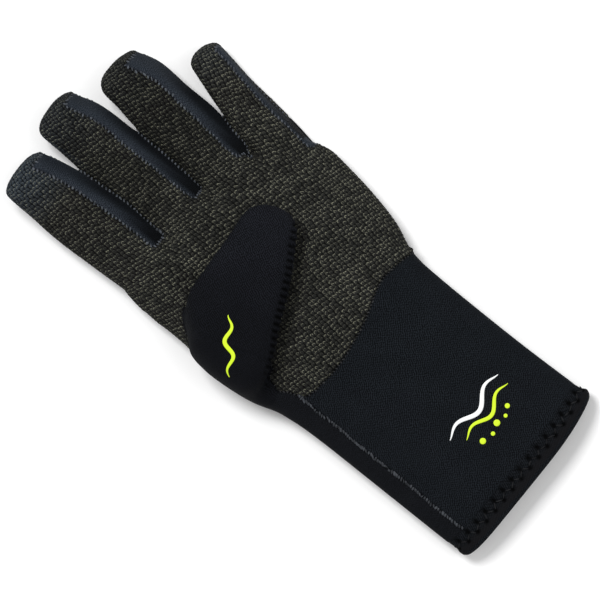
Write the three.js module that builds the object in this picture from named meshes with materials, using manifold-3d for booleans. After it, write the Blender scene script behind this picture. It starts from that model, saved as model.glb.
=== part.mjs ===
// Left-hand neoprene diving glove with a knitted palm, lying palm up on the back of the hand.
// Millimetres: +Y runs along the fingers, +X towards the little finger, +Z up out of the palm.
// The origin is on the flat back of the hand, under the middle of the palm.
import * as THREE from "three";
import Module from "manifold-3d";
import { mergeVertices } from "three/addons/utils/BufferGeometryUtils.js";

const wasm = await Module();
wasm.setup();

// Cloth
const clothWall = 3; // foam with a knitted face on both sides
const seamGap = 0.3; // between two sewn panels
const fingerGap = 2.1; // between the facing sides of two fingers

// Hand and cuff
const palmLength = 104; // wrist to the web beside the index finger
const palmHeight = 21;
const cuffLength = 118;
const cuffWidth = 99.6;
const cuffHeight = 18;
const hemLength = 12;
const hemSwell = 0.6; // how far the folded hem stands proud of the cuff
const hemFold = 1.6; // extra thickness inside the mouth
const mouthRise = 4.2; // how far the mouth's corners lie above its middle
const webDrop = 15; // how far the web beside the little finger lies below the first one
const sideStrip = 9.5; // width of the cuff's long side strip on each face
const backSeam = 7; // height of the seam between the palm's edge and the back of the hand
const palmOrigin = 0.3; // the origin's place, as a share of the palm's length above the wrist

// Fingers
const fingerSquash = 0.28; // share of a finger's half height that is pressed flat on the floor
const fingerEnd = 6; // length of the rounded end
const tipWrap = 13; // how far the knitted front folds over on to the back
const stationShare = 0.935; // share of two facing half widths between their fingers' middle lines
const webStart = 0.75; // where the web starts to fall, as a share of the index finger's half width
const webSpan = 0.75; // share of the fingers' span over which it falls by the whole drop
const palmLeftShare = 0.45; // share of the knuckles' width that lies on the index finger's side of the origin
const fingers = [
  { name: "index", width: 32.2, depth: 23, length: 76, roll: 28, splay: 1 },
  { name: "middle", width: 29.8, depth: 22, length: 83, roll: 27, splay: 1 },
  { name: "ring", width: 29, depth: 24, length: 76.5, roll: 28, splay: -3.4 },
  { name: "little", width: 18, depth: 19, length: 58.5, roll: 10, splay: -12.5 },
];

const frontSeam = 0.78; // place of the long seam beside a finger's front, as a share of its half depth
const hiddenSeam = 0.3; // the same on the side towards the index finger, where it doesn't show
const lowSeam = -0.4; // the same beside a finger's back
const gussetDepth = 0.3; // how far a gusset reaches in from a finger's side, as a share of its half width
const gussetStop = 3; // from a gusset's end to the fingertip
const crotchDepth = 3; // how far a gusset reaches past the bottom of its slot
const crotchStart = 0.55; // where a gusset's bottom starts, as a share of each finger's half width
const crotchTop = 0.8; // its height, as a share of the palm's
const backStart = 0.01; // where a finger's back panel starts, as a share of its length
const outerStart = -0.2; // the same for the strips on the hand's two outer sides

// Thumb, folded over the palm
const thumbLength = 73; // fold to tip
const thumbWidth = 45;
const thumbHeight = 17;
const thumbHeading = 19; // degrees from across the palm towards the fingers
const foldHeading = 2; // the same for the fold itself
const thumbClearance = 0.5; // between the palm and the thumb lying on it
const thumbFoldPlace = 0.44; // of the palm's length, above the wrist
const thumbBulge = 6; // how far the fold stands outside the palm's edge
const thumbEnd = 9; // length of the rounded end
const thumbTaper = 0.88; // share of the last row's size at the tip
const thumbShoulder = 0.96; // the same where the rounded end starts
const thumbSeamDrop = 0.22; // how far below the thumb's middle its long seam runs, as a share of its height

const wristY = -palmOrigin * palmLength;
const webY = wristY + palmLength;
const hemY = wristY - cuffLength;
const degrees = Math.PI / 180;

// Sections are rounded boxes. Each quarter of a section takes these angles.
const fingerQuarter = [0, 32, 58];
const handQuarter = [0, 12, 28, 46, 66];
const boxiness = 4;
const handBoxiness = 2.9;

const vector = (x, y, z) => new THREE.Vector3(x, y, z);
const mix = THREE.MathUtils.lerp;

function quarterAngles(quarter) {
  return [0, 90, 180, 270].flatMap((start) => quarter.map((angle) => (start + angle) * degrees));
}

// A point of a rounded box of half sizes a and b, at a parameter angle.
function sectionPoint(angle, a, b, power) {
  const bend = (value) => Math.sign(value) * Math.abs(value) ** (2 / power);
  return [a * bend(Math.cos(angle)), b * bend(Math.sin(angle))];
}

// Half of a rolled rounded box's extent across the direction that it is rolled from.
function rolledHalf(a, b, roll, power) {
  const q = power / (power - 1);
  return ((a * Math.cos(roll)) ** q + (b * Math.sin(roll)) ** q) ** (1 / q);
}

// A closed solid through rings of as many points each, which run anticlockwise seen from the far end.
function loft(rings) {
  const count = rings[0].length;
  const middle = (ring) => ring.reduce((sum, p) => sum.add(p), vector(0, 0, 0)).divideScalar(ring.length);
  const points = [...rings.flat(), middle(rings[0]), middle(rings.at(-1))];
  const faces = [];
  for (let row = 0; row < rings.length - 1; row += 1) {
    for (let at = 0; at < count; at += 1) {
      const next = (at + 1) % count;
      const [a, b] = [row * count + at, row * count + next];
      faces.push(a, b, b + count, a, b + count, a + count);
    }
  }
  const start = rings.length * count;
  const lastRow = (rings.length - 1) * count;
  for (let at = 0; at < count; at += 1) {
    const next = (at + 1) % count;
    faces.push(start, next, at, start + 1, lastRow + at, lastRow + next);
  }
  const numbers = points.flatMap((p) => [p.x, p.y, p.z]);
  const geometry = new THREE.BufferGeometry();
  geometry.setAttribute("position", new THREE.Float32BufferAttribute(numbers, 3));
  geometry.setIndex(faces);
  return solidOf(geometry);
}

function solidOf(geometry) {
  const bare = geometry.clone();
  bare.deleteAttribute("normal");
  bare.deleteAttribute("uv");
  const merged = mergeVertices(bare, 1e-4);
  return new wasm.Manifold(
    new wasm.Mesh({
      numProp: 3,
      vertProperties: Float32Array.from(merged.attributes.position.array),
      triVerts: Uint32Array.from(merged.index.array),
    }),
  );
}

// An upright prism over a plan outline.
function prism(outline, low, high) {
  const shape = new THREE.Shape(outline.map(([x, y]) => new THREE.Vector2(x, y)));
  const geometry = new THREE.ExtrudeGeometry(shape, { depth: high - low, bevelEnabled: false });
  return solidOf(geometry.translate(0, 0, low));
}

function block(low, high) {
  const size = high.clone().sub(low);
  const centre = low.clone().add(high).divideScalar(2);
  return solidOf(new THREE.BoxGeometry(size.x, size.y, size.z).translate(centre.x, centre.y, centre.z));
}

const farSide = 400;
const above = (z) => block(vector(-farSide, -farSide, z), vector(farSide, farSide, farSide));
const smooth = (points, steps) => {
  const curve = new THREE.SplineCurve(points.map(([x, y]) => new THREE.Vector2(x, y)));
  return curve.getPoints(steps).map((p) => [p.x, p.y]);
};

// Fingers lie side by side, each rolled towards the index finger, so their places follow from their widths.
// along: share of the length from the web. side: sideways shift, wide, deep: shares of width and depth.
// turn: share of the finger's roll. lift: share of the depth by which the curled end rises.
const fingerRows = {
  index: [
    { along: -0.36, side: 0.02, wide: 0.88, deep: 0.82, turn: 0.2, lift: -0.08 },
    { along: 0.0, side: 0.01, wide: 0.96, deep: 0.97, turn: 0.8, lift: -0.02 },
    { along: 0.3, side: 0.02, wide: 1.03, deep: 1, turn: 1, lift: 0 },
    { along: 0.55, side: 0.0, wide: 1.01, deep: 1, turn: 1, lift: 0 },
    { along: 0.76, side: -0.04, wide: 0.93, deep: 0.92, turn: 1, lift: 0.08 },
    { along: 0.92, side: -0.07, wide: 0.84, deep: 0.78, turn: 1, lift: 0.25 },
    { along: 1.0, side: -0.08, wide: 0.76, deep: 0.68, turn: 1, lift: 0.36 },
  ],
  middle: [
    { along: -0.36, side: 0.0, wide: 0.84, deep: 0.82, turn: 0.2, lift: -0.08 },
    { along: 0.0, side: 0.0, wide: 0.9, deep: 0.97, turn: 0.8, lift: -0.02 },
    { along: 0.3, side: 0.02, wide: 0.95, deep: 1, turn: 1, lift: 0 },
    { along: 0.6, side: 0.02, wide: 1.0, deep: 1, turn: 1, lift: 0 },
    { along: 0.78, side: -0.01, wide: 0.96, deep: 0.93, turn: 1, lift: 0.08 },
    { along: 0.92, side: -0.05, wide: 0.86, deep: 0.8, turn: 1, lift: 0.25 },
    { along: 1.0, side: -0.07, wide: 0.78, deep: 0.7, turn: 1, lift: 0.36 },
  ],
  ring: [
    { along: -0.36, side: -0.02, wide: 0.84, deep: 0.78, turn: 0.2, lift: -0.08 },
    { along: 0.0, side: 0.0, wide: 0.9, deep: 0.92, turn: 0.8, lift: -0.02 },
    { along: 0.3, side: 0.04, wide: 0.95, deep: 0.97, turn: 1, lift: 0 },
    { along: 0.6, side: 0.03, wide: 1.02, deep: 1, turn: 1, lift: 0 },
    { along: 0.78, side: 0.0, wide: 0.97, deep: 0.93, turn: 1, lift: 0.08 },
    { along: 0.92, side: -0.05, wide: 0.86, deep: 0.78, turn: 1, lift: 0.24 },
    { along: 1.0, side: -0.08, wide: 0.74, deep: 0.66, turn: 1, lift: 0.34 },
  ],
  little: [
    { along: -0.42, side: 0.14, wide: 1.3, deep: 0.95, turn: 0, lift: -0.02 },
    { along: 0.0, side: 0.06, wide: 1.14, deep: 1, turn: 0.8, lift: 0 },
    { along: 0.3, side: 0.0, wide: 1.04, deep: 1, turn: 1, lift: 0 },
    { along: 0.6, side: -0.02, wide: 1.02, deep: 0.96, turn: 1, lift: 0.04 },
    { along: 0.8, side: -0.02, wide: 0.96, deep: 0.86, turn: 1, lift: 0.14 },
    { along: 1.0, side: -0.02, wide: 0.82, deep: 0.7, turn: 1, lift: 0.32 },
  ],
};
// The rounded end of a finger or thumb. back: end lengths from the tip. keep: share of its size.
const endRows = [
  { back: 1, keep: 1 },
  { back: 0.4, keep: 0.93 },
  { back: 0, keep: 0.74 },
];

for (const [order, finger] of fingers.entries()) {
  finger.rollAngle = finger.roll * degrees;
  finger.rows = fingerRows[finger.name];
  const [a, b] = [finger.width / 2, finger.depth / 2];
  finger.halfAcross = rolledHalf(a, b, finger.rollAngle, boxiness);
  const halfTall = rolledHalf(b, a, finger.rollAngle, boxiness);
  finger.restHeight = halfTall * (1 - fingerSquash);
  finger.fromFirst = 0;
  if (order > 0) {
    const before = fingers[order - 1];
    const roll = (before.rollAngle + finger.rollAngle) / 2;
    const facing = (before.width * before.rows[1].wide + finger.width * finger.rows[1].wide) / 2;
    finger.fromFirst = before.fromFirst + (facing * stationShare + fingerGap) / Math.cos(roll);
  }
}
const knuckleWidth = fingers[0].halfAcross + fingers.at(-1).fromFirst + fingers.at(-1).halfAcross;
const palmLeft = -palmLeftShare * knuckleWidth; // outer edge of the index finger's root
for (const finger of fingers) {
  finger.rootX = palmLeft + fingers[0].halfAcross + finger.fromFirst;
}
const rootSpan = fingers.at(-1).rootX - fingers[0].rootX;

// The web between the fingers falls away towards the little finger along a parabola.
function webFall(x) {
  const from = fingers[0].rootX + fingers[0].halfAcross * webStart;
  const share = Math.max(0, x - from) / (rootSpan * webSpan);
  return webDrop * share * share;
}
for (const finger of fingers) {
  finger.rootY = webY - webFall(finger.rootX - finger.halfAcross);
}

// A spline through one column of a table, at a share along it.
function column(rows, key, along) {
  let at = 0;
  while (at < rows.length - 2 && along > rows[at + 1].along) at += 1;
  const value = (index) => rows[THREE.MathUtils.clamp(index, 0, rows.length - 1)][key];
  const place = (index) => rows[THREE.MathUtils.clamp(index, 0, rows.length - 1)].along;
  const span = place(at + 1) - place(at);
  const share = (along - place(at)) / span;
  const slope = (index) => {
    const width = place(index + 1) - place(index - 1);
    return width > 0 ? ((value(index + 1) - value(index - 1)) / width) * span : 0;
  };
  const [t2, t3] = [share * share, share * share * share];
  return (
    (2 * t3 - 3 * t2 + 1) * value(at) +
    (t3 - 2 * t2 + share) * slope(at) +
    (3 * t2 - 2 * t3) * value(at + 1) +
    (t3 - t2) * slope(at + 1)
  );
}

// Where a finger's middle line is at a share of its length, with its section's axes and half sizes.
function fingerFrame(finger, along) {
  const splay = -finger.splay * degrees;
  const heading = vector(Math.sin(splay), Math.cos(splay), 0);
  const sideways = vector(Math.cos(splay), -Math.sin(splay), 0);
  const centreAt = (share) =>
    vector(finger.rootX, finger.rootY, finger.restHeight)
      .addScaledVector(heading, share * finger.length)
      .addScaledVector(sideways, column(finger.rows, "side", share) * finger.width)
      .add(vector(0, 0, column(finger.rows, "lift", share) * finger.depth));
  const step = 0.02;
  const forward = centreAt(along + step).sub(centreAt(along - step)).normalize();
  const across = sideways.clone().addScaledVector(forward, -sideways.dot(forward)).normalize();
  const up = across.clone().cross(forward);
  const roll = finger.rollAngle * column(finger.rows, "turn", along);
  const [c, s] = [Math.cos(roll), Math.sin(roll)];
  return {
    centre: centreAt(along),
    forward,
    wide: across.clone().multiplyScalar(c).addScaledVector(up, s),
    deep: across.clone().multiplyScalar(-s).addScaledVector(up, c),
    a: (column(finger.rows, "wide", along) * finger.width) / 2,
    b: (column(finger.rows, "deep", along) * finger.depth) / 2,
  };
}

function placed(frame, [x, z], forward = 0) {
  return frame.centre
    .clone()
    .addScaledVector(frame.wide, x)
    .addScaledVector(frame.deep, z)
    .addScaledVector(frame.forward, forward);
}

function fingerTube(finger, inset) {
  const endShare = fingerEnd / finger.length;
  const rows = finger.rows.filter((row) => row.along < 1 - endShare);
  const ring = (frame, keep, forward) =>
    quarterAngles(fingerQuarter).map((angle) => {
      const [a, b] = [(frame.a - inset) * keep, (frame.b - inset) * keep];
      return placed(frame, sectionPoint(-angle, a, b, boxiness), forward);
    });
  const body = rows.map((row) => ring(fingerFrame(finger, row.along), 1, 0));
  const end = endRows.map(({ back, keep }) => ring(fingerFrame(finger, 1 - endShare * back), keep, -inset));
  return loft([...body, ...end]);
}

// The palm and cuff are one flattened tube.
const cuffShift = 0.024; // how far the cuff's middle lies towards the little finger, as a share of its width
const cuffMiddle = cuffShift * cuffWidth;
// up: share of the cuff's or the palm's length. left, right: shares of the cuff's or the knuckles' width.
// height: share of the cuff's or the palm's height. rise: share of the rounding of the mouth's corners.
const cuffRows = [
  { up: 0, left: -0.49, right: 0.515, height: 0.95, rise: 1 },
  { up: 0.12, left: -0.497, right: 0.512, height: 0.97, rise: 0.6 },
  { up: 0.45, left: -0.5, right: 0.5, height: 1, rise: 0 },
  { up: 0.85, left: -0.5, right: 0.5, height: 1.03, rise: 0 },
];
// fall: share of the web's fall that the row follows.
const palmRows = [
  { up: 0.02, left: 0.013, right: 0.92, height: 0.96, fall: 0 },
  { up: 0.18, left: -0.022, right: 0.975, height: 1, fall: 0 },
  { up: 0.4, left: -0.022, right: 1.02, height: 1, fall: 0.15 },
  { up: 0.65, left: -0.019, right: 1.046, height: 1, fall: 0.4 },
  { up: 0.84, left: -0.013, right: 1.04, height: 0.95, fall: 0.75 },
  { up: 0.96, left: 0, right: 1.022, height: 0.86, fall: 0.95 },
  { up: 1.02, left: 0.025, right: 1.0, height: 0.72, fall: 1 },
  { up: 1.045, left: 0.06, right: 0.96, height: 0.55, fall: 1 },
];
const cuffEdge = (share) => cuffMiddle + share * cuffWidth;
const palmEdge = (share) => palmLeft + share * knuckleWidth;
const handRows = [
  ...cuffRows.map((row) => ({
    y: mix(hemY, wristY, row.up),
    left: cuffEdge(row.left),
    right: cuffEdge(row.right),
    height: row.height * cuffHeight,
    fall: 0,
    rise: row.rise,
  })),
  ...palmRows.map((row) => ({
    y: mix(wristY, webY, row.up),
    left: palmEdge(row.left),
    right: palmEdge(row.right),
    height: row.height * palmHeight,
    fall: row.fall,
    rise: 0,
  })),
];
const floorPress = 1.5; // how far the tube would reach below the floor if it weren't pressed flat

const mouthCorner = 5; // power of the curve that the mouth's corners rise on

function handRing(row, inset, endInset = 0) {
  const half = (row.right - row.left) / 2 - inset;
  const tall = (row.height + floorPress) / 2 - inset;
  const centre = [(row.right + row.left) / 2, (row.height - floorPress) / 2];
  return quarterAngles(handQuarter).map((angle) => {
    const [x, z] = sectionPoint(angle, half, tall, handBoxiness);
    const rise = mouthRise * row.rise * Math.abs(x / half) ** mouthCorner;
    const fall = webFall(centre[0] - x) * row.fall;
    return vector(centre[0] - x, row.y - endInset - fall + rise, z + centre[1]);
  });
}

function handTube(inset) {
  const closing = handRows.length - 2; // the last two rows close the end, so they move back by the wall too
  const rings = handRows.map((row, index) => handRing(row, inset, index >= closing ? inset : 0));
  if (inset > 0) rings.unshift(handRing({ ...handRows[0], y: hemY - clothWall }, inset));
  return loft(rings);
}

// The thumb leaves the palm's edge in a hairpin fold and lies across the palm.
const inPlane = (angle) => vector(Math.cos(angle * degrees), Math.sin(angle * degrees), 0);
const heading = inPlane(thumbHeading);
const thumbAcross = inPlane(thumbHeading - 90);
const foldForward = inPlane(foldHeading);
const foldAcross = inPlane(foldHeading - 90);
const thumbTopHeight = palmHeight + thumbClearance + thumbHeight / 2;
const foldRadius = (thumbTopHeight - thumbHeight / 2 - clothWall / 2 + 1) / 2;
const foldCentre = vector(
  palmLeft - thumbBulge + (foldRadius + thumbHeight / 2) * heading.x,
  wristY + thumbFoldPlace * palmLength,
  thumbTopHeight - foldRadius,
);
// turn: degrees round the hairpin. wide and tall: shares of the thumb's width and height.
// side: shift towards the cuff, as a share of its width.
const foldRows = [
  { turn: 20, side: 0.187, wide: 0.878, tall: 0.751 },
  { turn: 55, side: 0.163, wide: 0.909, tall: 0.806 },
  { turn: 90, side: 0.14, wide: 0.94, tall: 0.86 },
  { turn: 125, side: 0.117, wide: 0.971, tall: 0.914 },
  { turn: 155, side: 0.097, wide: 0.998, tall: 0.961 },
];
// place: share of the thumb's length from the fold. turn: share of the turn from the fold's heading.
const thumbRows = [
  { place: 0.02, wide: 1.12, tall: 1.0, side: 0.03, turn: 0.3 },
  { place: 0.2, wide: 1.11, tall: 1.0, side: -0.04, turn: 0.8 },
  { place: 0.43, wide: 0.98, tall: 1.0, side: -0.03, turn: 1 },
  { place: 0.66, wide: 0.81, tall: 0.98, side: 0.0, turn: 1 },
  { place: 0.82, wide: 0.69, tall: 0.94, side: 0.0, turn: 1 },
];
const thumbQuarter = [0, 28, 56];
const thumbBoxiness = 2.7;

function thumbFrames() {
  const frames = foldRows.map((row) => {
    const [c, s] = [Math.cos(row.turn * degrees), Math.sin(row.turn * degrees)];
    return {
      centre: foldCentre
        .clone()
        .addScaledVector(foldForward, -foldRadius * s)
        .addScaledVector(foldAcross, row.side * thumbWidth)
        .add(vector(0, 0, -foldRadius * c)),
      forward: foldForward.clone().multiplyScalar(-c).add(vector(0, 0, s)),
      wide: foldAcross,
      deep: foldForward.clone().multiplyScalar(-s).add(vector(0, 0, -c)),
      a: (row.wide * thumbWidth) / 2,
      b: (row.tall * thumbHeight) / 2,
    };
  });
  for (const row of thumbRows) {
    const facing = mix(foldHeading, thumbHeading, row.turn);
    frames.push({
      centre: foldCentre
        .clone()
        .addScaledVector(heading, row.place * thumbLength)
        .addScaledVector(thumbAcross, row.side * thumbWidth)
        .add(vector(0, 0, foldRadius)),
      forward: inPlane(facing),
      wide: inPlane(facing - 90),
      deep: vector(0, 0, 1),
      a: (row.wide * thumbWidth) / 2,
      b: (row.tall * thumbHeight) / 2,
    });
  }
  return frames;
}

function thumbTube(inset) {
  const frames = thumbFrames();
  const ring = (frame, keep, forward) =>
    quarterAngles(thumbQuarter).map((angle) => {
      const [a, b] = [(frame.a - inset) * keep, (frame.b - inset) * keep];
      return placed(frame, sectionPoint(-angle, a, b, thumbBoxiness), forward);
    });
  const last = frames.at(-1);
  const endStart = (1 - thumbRows.at(-1).place) * thumbLength - thumbEnd;
  const end = endRows.map(({ back, keep }) => {
    const size = keep * mix(thumbTaper, thumbShoulder, back);
    return ring(last, size, endStart + thumbEnd * (1 - back) - inset);
  });
  return loft([...frames.map((frame) => ring(frame, 1, 0)), ...end]);
}

// All the tubes joined, pressed flat on the floor, with the same tubes a wall smaller taken out.
const tubes = (inset) =>
  fingers.reduce((sum, finger) => sum.add(fingerTube(finger, inset)), handTube(inset).add(thumbTube(inset)));
const outside = tubes(0).intersect(above(0));
const inside = tubes(clothWall).intersect(above(clothWall));

// Regions that the cloth is cut into. Each one grows by a margin, which leaves the seam's gap.
// across: share of the wrist's width from its middle. up: share of the palm's length above the wrist.
const wristSeam = [
  { across: 1.2, up: 0.02 },
  { across: 0.53, up: 0.02 },
  { across: 0.42, up: 0.045 },
  { across: 0.3, up: 0.06 },
  { across: 0.1, up: 0.0 },
  { across: -0.15, up: -0.035 },
  { across: -0.34, up: 0.0 },
  { across: -0.43, up: 0.13 },
  { across: -0.53, up: 0.19 },
  { across: -1.2, up: 0.19 },
];
const wristSteps = 16;
const wristCurve = smooth(
  wristSeam.map(({ across, up }) => [cuffMiddle + across * cuffWidth, wristY + up * palmLength]),
  wristSteps,
);
const stripX = cuffEdge(-0.5) + sideStrip;

const corner = vector(-farSide, -farSide, -farSide);
const belowWrist = (margin) => {
  const edge = wristCurve.map(([x, y]) => [x, y + margin]);
  return prism([[-farSide, -farSide], [farSide, -farSide], ...edge], -farSide, farSide);
};
const hemRegion = (margin) => block(corner, vector(farSide, hemY + hemLength + margin, farSide));
const stripRegion = (margin) =>
  belowWrist(margin).intersect(block(corner, vector(stripX + margin, farSide, farSide)));

// The thumb's cloth is all that lies outside the hand's own tube.
const thumbRegion = (margin) => thumbTube(-margin).subtract(handTube(margin - seamGap));
const thumbUnderRegion = (margin) => {
  const low = thumbTopHeight - thumbSeamDrop * thumbHeight + margin;
  const start = foldCentre.clone().addScaledVector(heading, foldRadius - margin);
  const reach = thumbLength * 2;
  const spot = (along, across) => {
    const p = start.clone().addScaledVector(heading, along).addScaledVector(thumbAcross, across);
    return [p.x, p.y];
  };
  return prism([spot(0, -reach), spot(0, reach), spot(reach, reach), spot(reach, -reach)], 0, low);
};

// A slab that follows a finger and keeps to its cloth.
// wide and deep: its limits as shares of the section's half sizes.
const slabSteps = 5;
function fingerSlab(finger, from, to, wide, deep, margin) {
  const rings = [];
  for (let step = 0; step <= slabSteps; step += 1) {
    const share = mix(from - margin / finger.length, to + margin / finger.length, step / slabSteps);
    const frame = fingerFrame(finger, share);
    const [x0, x1] = [wide[0] * frame.a - margin, wide[1] * frame.a + margin];
    const [z0, z1] = [deep[0] * frame.b - margin, deep[1] * frame.b + margin];
    rings.push([[x0, z0], [x0, z1], [x1, z1], [x1, z0]].map((corner) => placed(frame, corner)));
  }
  return loft(rings).intersect(fingerTube(finger, -seamGap - margin));
}

const slabReach = 1.5; // share of a section's half size that clears it
const tipShare = (finger) => 1 - tipWrap / finger.length;
const endShare = (finger) => 1 - gussetStop / finger.length;
const sideSlab = (finger, side, from, to, margin) => {
  const wide = side > 0 ? [gussetDepth, slabReach] : [-slabReach, -gussetDepth];
  return fingerSlab(finger, from, to, wide, [lowSeam, side > 0 ? frontSeam : hiddenSeam], margin);
};
const backSlab = (finger) => (margin) =>
  fingerSlab(finger, backStart, tipShare(finger), [-slabReach, slabReach], [-slabReach, lowSeam], margin);

// A gusset lines both sides of the slot between two fingers and joins them round the bottom of the slot.
const gussetRegion = (left, right) => (margin) => {
  const one = sideSlab(left, 1, 0, endShare(left), margin);
  const other = sideSlab(right, -1, 0, endShare(right), margin);
  const [a, b] = [fingerFrame(left, 0), fingerFrame(right, 0)];
  const low = Math.min(a.centre.y, b.centre.y);
  const high = Math.max(a.centre.y, b.centre.y);
  const crotch = block(
    vector(a.centre.x + a.a * crotchStart, low - crotchDepth - margin, backSeam - margin),
    vector(b.centre.x - b.a * crotchStart, high + crotchDepth, palmHeight * crotchTop + margin),
  );
  return one.add(other).add(crotch);
};
const outerRegion = (finger, side) => (margin) =>
  sideSlab(finger, side, outerStart, endShare(finger), margin);

const rootShare = 0.06; // the back of the hand runs on under the start of each finger's back panel
const rootLine = fingers.flatMap((finger) => {
  const frame = fingerFrame(finger, rootShare);
  return [-1, 1].map((side) => {
    const p = frame.centre.clone().addScaledVector(frame.wide, side * frame.a);
    return [p.x, p.y];
  });
});
const backRegion = (margin) => {
  const wristEdge = [[-farSide, -farSide], [farSide, -farSide]];
  const ends = [[farSide, rootLine.at(-1)[1]], [-farSide, rootLine[0][1]]];
  return prism([...wristEdge, ends[0], ...rootLine.toReversed(), ends[1]], -farSide, backSeam + margin);
};

// Cuts every piece out of the shell of cloth. Each takes its region and leaves a seam's gap round it.
const pieces = {};
let uncut = outside.subtract(inside);
function cutPiece(name, region) {
  pieces[name] = mainBody(uncut.intersect(region(0)));
  uncut = uncut.subtract(region(seamGap));
}
function mainBody(solid) {
  return solid.decompose().sort((one, other) => other.volume() - one.volume())[0];
}

// The hem is folded over, so it is thicker than the rest of the cuff on both faces.
const hemWall = clothWall + hemFold;
const hemBand = handTube(-hemSwell).intersect(above(0)).subtract(handTube(hemWall).intersect(above(hemWall)));
pieces.cuff_hem = mainBody(hemBand.intersect(hemRegion(0)));
uncut = uncut.subtract(hemRegion(seamGap));
const thumbBackRegion = (margin) => thumbRegion(margin).subtract(thumbUnderRegion(seamGap - margin));
cutPiece("thumb_back", thumbBackRegion);
cutPiece("thumb_front", thumbRegion);
cutPiece("cuff_side_strip", stripRegion);
cutPiece("cuff_panel", belowWrist);
for (const finger of fingers) cutPiece(`${finger.name}_back`, backSlab(finger));
const pairs = [["index", "middle"], ["middle", "ring"], ["ring", "little"]];
const named = (name) => fingers.find((finger) => finger.name === name);
for (const [left, right] of pairs) {
  cutPiece(`gusset_${left}_${right}`, gussetRegion(named(left), named(right)));
}
cutPiece("index_side_strip", outerRegion(fingers[0], -1));
cutPiece("little_side_strip", outerRegion(fingers.at(-1), 1));
cutPiece("hand_back", backRegion);
pieces.palm_panel = mainBody(uncut);

// Each slot's colour and shine, taken from the object.
const looks = {
  knit: { color: "#31312d", roughness: 0.95 },
  smooth_neoprene: { color: "#16181b", roughness: 0.8 },
  side_neoprene: { color: "#242b33", roughness: 0.8 },
  cuff_neoprene: { color: "#17191b", roughness: 0.8 },
};
const slotOf = (name) => {
  if (name.startsWith("cuff")) return "cuff_neoprene";
  if (name.startsWith("gusset") || name.endsWith("side_strip")) return "side_neoprene";
  if (["thumb_back", "hand_back"].includes(name)) return "smooth_neoprene";
  return "knit";
};

function meshOf(name, solid) {
  const { vertProperties, triVerts } = solid.getMesh();
  const geometry = new THREE.BufferGeometry();
  geometry.setAttribute("position", new THREE.BufferAttribute(vertProperties, 3));
  geometry.setIndex(new THREE.BufferAttribute(triVerts, 1));
  geometry.computeVertexNormals();
  const material = new THREE.MeshStandardMaterial({ ...looks[slotOf(name)], metalness: 0 });
  const mesh = new THREE.Mesh(geometry, material);
  mesh.name = name;
  return mesh;
}

// The origin goes under the middle of the whole glove.
const glove = new THREE.Group();
glove.name = "diving_glove";
for (const [name, solid] of Object.entries(pieces)) glove.add(meshOf(name, solid));
const middle = new THREE.Box3().setFromObject(glove).getCenter(vector(0, 0, 0));
glove.position.set(-middle.x, -middle.y, 0);

export default glove;
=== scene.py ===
import math
import bpy
import numpy as np
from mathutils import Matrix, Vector
from mathutils.bvhtree import BVHTree
from mathutils.kdtree import KDTree


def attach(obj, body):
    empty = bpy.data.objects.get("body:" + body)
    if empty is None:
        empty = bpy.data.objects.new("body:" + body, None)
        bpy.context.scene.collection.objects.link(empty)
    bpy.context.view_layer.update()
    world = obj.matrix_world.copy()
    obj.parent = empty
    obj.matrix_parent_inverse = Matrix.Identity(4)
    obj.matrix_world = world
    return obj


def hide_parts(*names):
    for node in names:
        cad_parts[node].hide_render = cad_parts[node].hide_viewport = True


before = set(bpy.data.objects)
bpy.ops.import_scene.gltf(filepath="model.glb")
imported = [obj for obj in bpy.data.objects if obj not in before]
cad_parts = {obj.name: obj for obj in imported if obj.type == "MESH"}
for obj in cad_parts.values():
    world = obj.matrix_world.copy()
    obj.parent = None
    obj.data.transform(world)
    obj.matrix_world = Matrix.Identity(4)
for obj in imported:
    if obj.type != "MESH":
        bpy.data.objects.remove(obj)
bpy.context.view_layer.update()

# All shapes are worked out in millimetres in the glove's own plan, and moved into the frame at the end
planMiddle = np.array([7.829, 4.374, 0.0])
toMetres = 0.001
toCentimetres = 0.1


# helpers for curves and grids

def curveThrough(places, values, at):
    places, values = np.asarray(places, float), np.asarray(values, float)
    at = np.clip(np.asarray(at, float), places[0], places[-1])
    last = len(places) - 1
    low = np.maximum(np.arange(last + 1) - 1, 0)
    high = np.minimum(np.arange(last + 1) + 1, last)
    slope = (values[high] - values[low]) / (places[high] - places[low])
    k = np.clip(np.searchsorted(places, at, "right") - 1, 0, last - 1)
    span = places[k + 1] - places[k]
    t = (at - places[k]) / span
    t2, t3 = t * t, t * t * t
    return ((2 * t3 - 3 * t2 + 1) * values[k] + (t3 - 2 * t2 + t) * slope[k] * span
            + (3 * t2 - 2 * t3) * values[k + 1] + (t3 - t2) * slope[k + 1] * span)


def column(rows, key, at, place="along"):
    return curveThrough([row[place] for row in rows], [row[key] for row in rows], at)


# A table as one dictionary a row, with the words of the heading as keys
def tableRows(heading, rows):
    return [dict(zip(heading.split(), row)) for row in rows]


def unit(vectors):
    return vectors / np.maximum(np.linalg.norm(vectors, axis=-1, keepdims=True), 1e-9)


def ease(low, high, value):
    t = np.clip((value - low) / (high - low), 0, 1)
    return t * t * (3 - 2 * t)


def bell(distance, width):
    return np.exp(-(distance / width) ** 2)


def roundedBox(count, power):
    angle = np.linspace(0, 2 * math.pi, count, endpoint=False)
    bend = lambda v: np.sign(v) * np.abs(v) ** (2 / power)
    return bend(np.cos(angle)), bend(np.sin(angle))


def domeKeep(distance, length, power):
    t = np.clip(1 - distance / length, 0, 0.9995)
    return (1 - t ** power) ** (1 / power)


def rolledHalf(a, b, roll, power):
    q = power / (power - 1)
    return ((a * math.cos(roll)) ** q + (b * math.sin(roll)) ** q) ** (1 / q)


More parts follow.
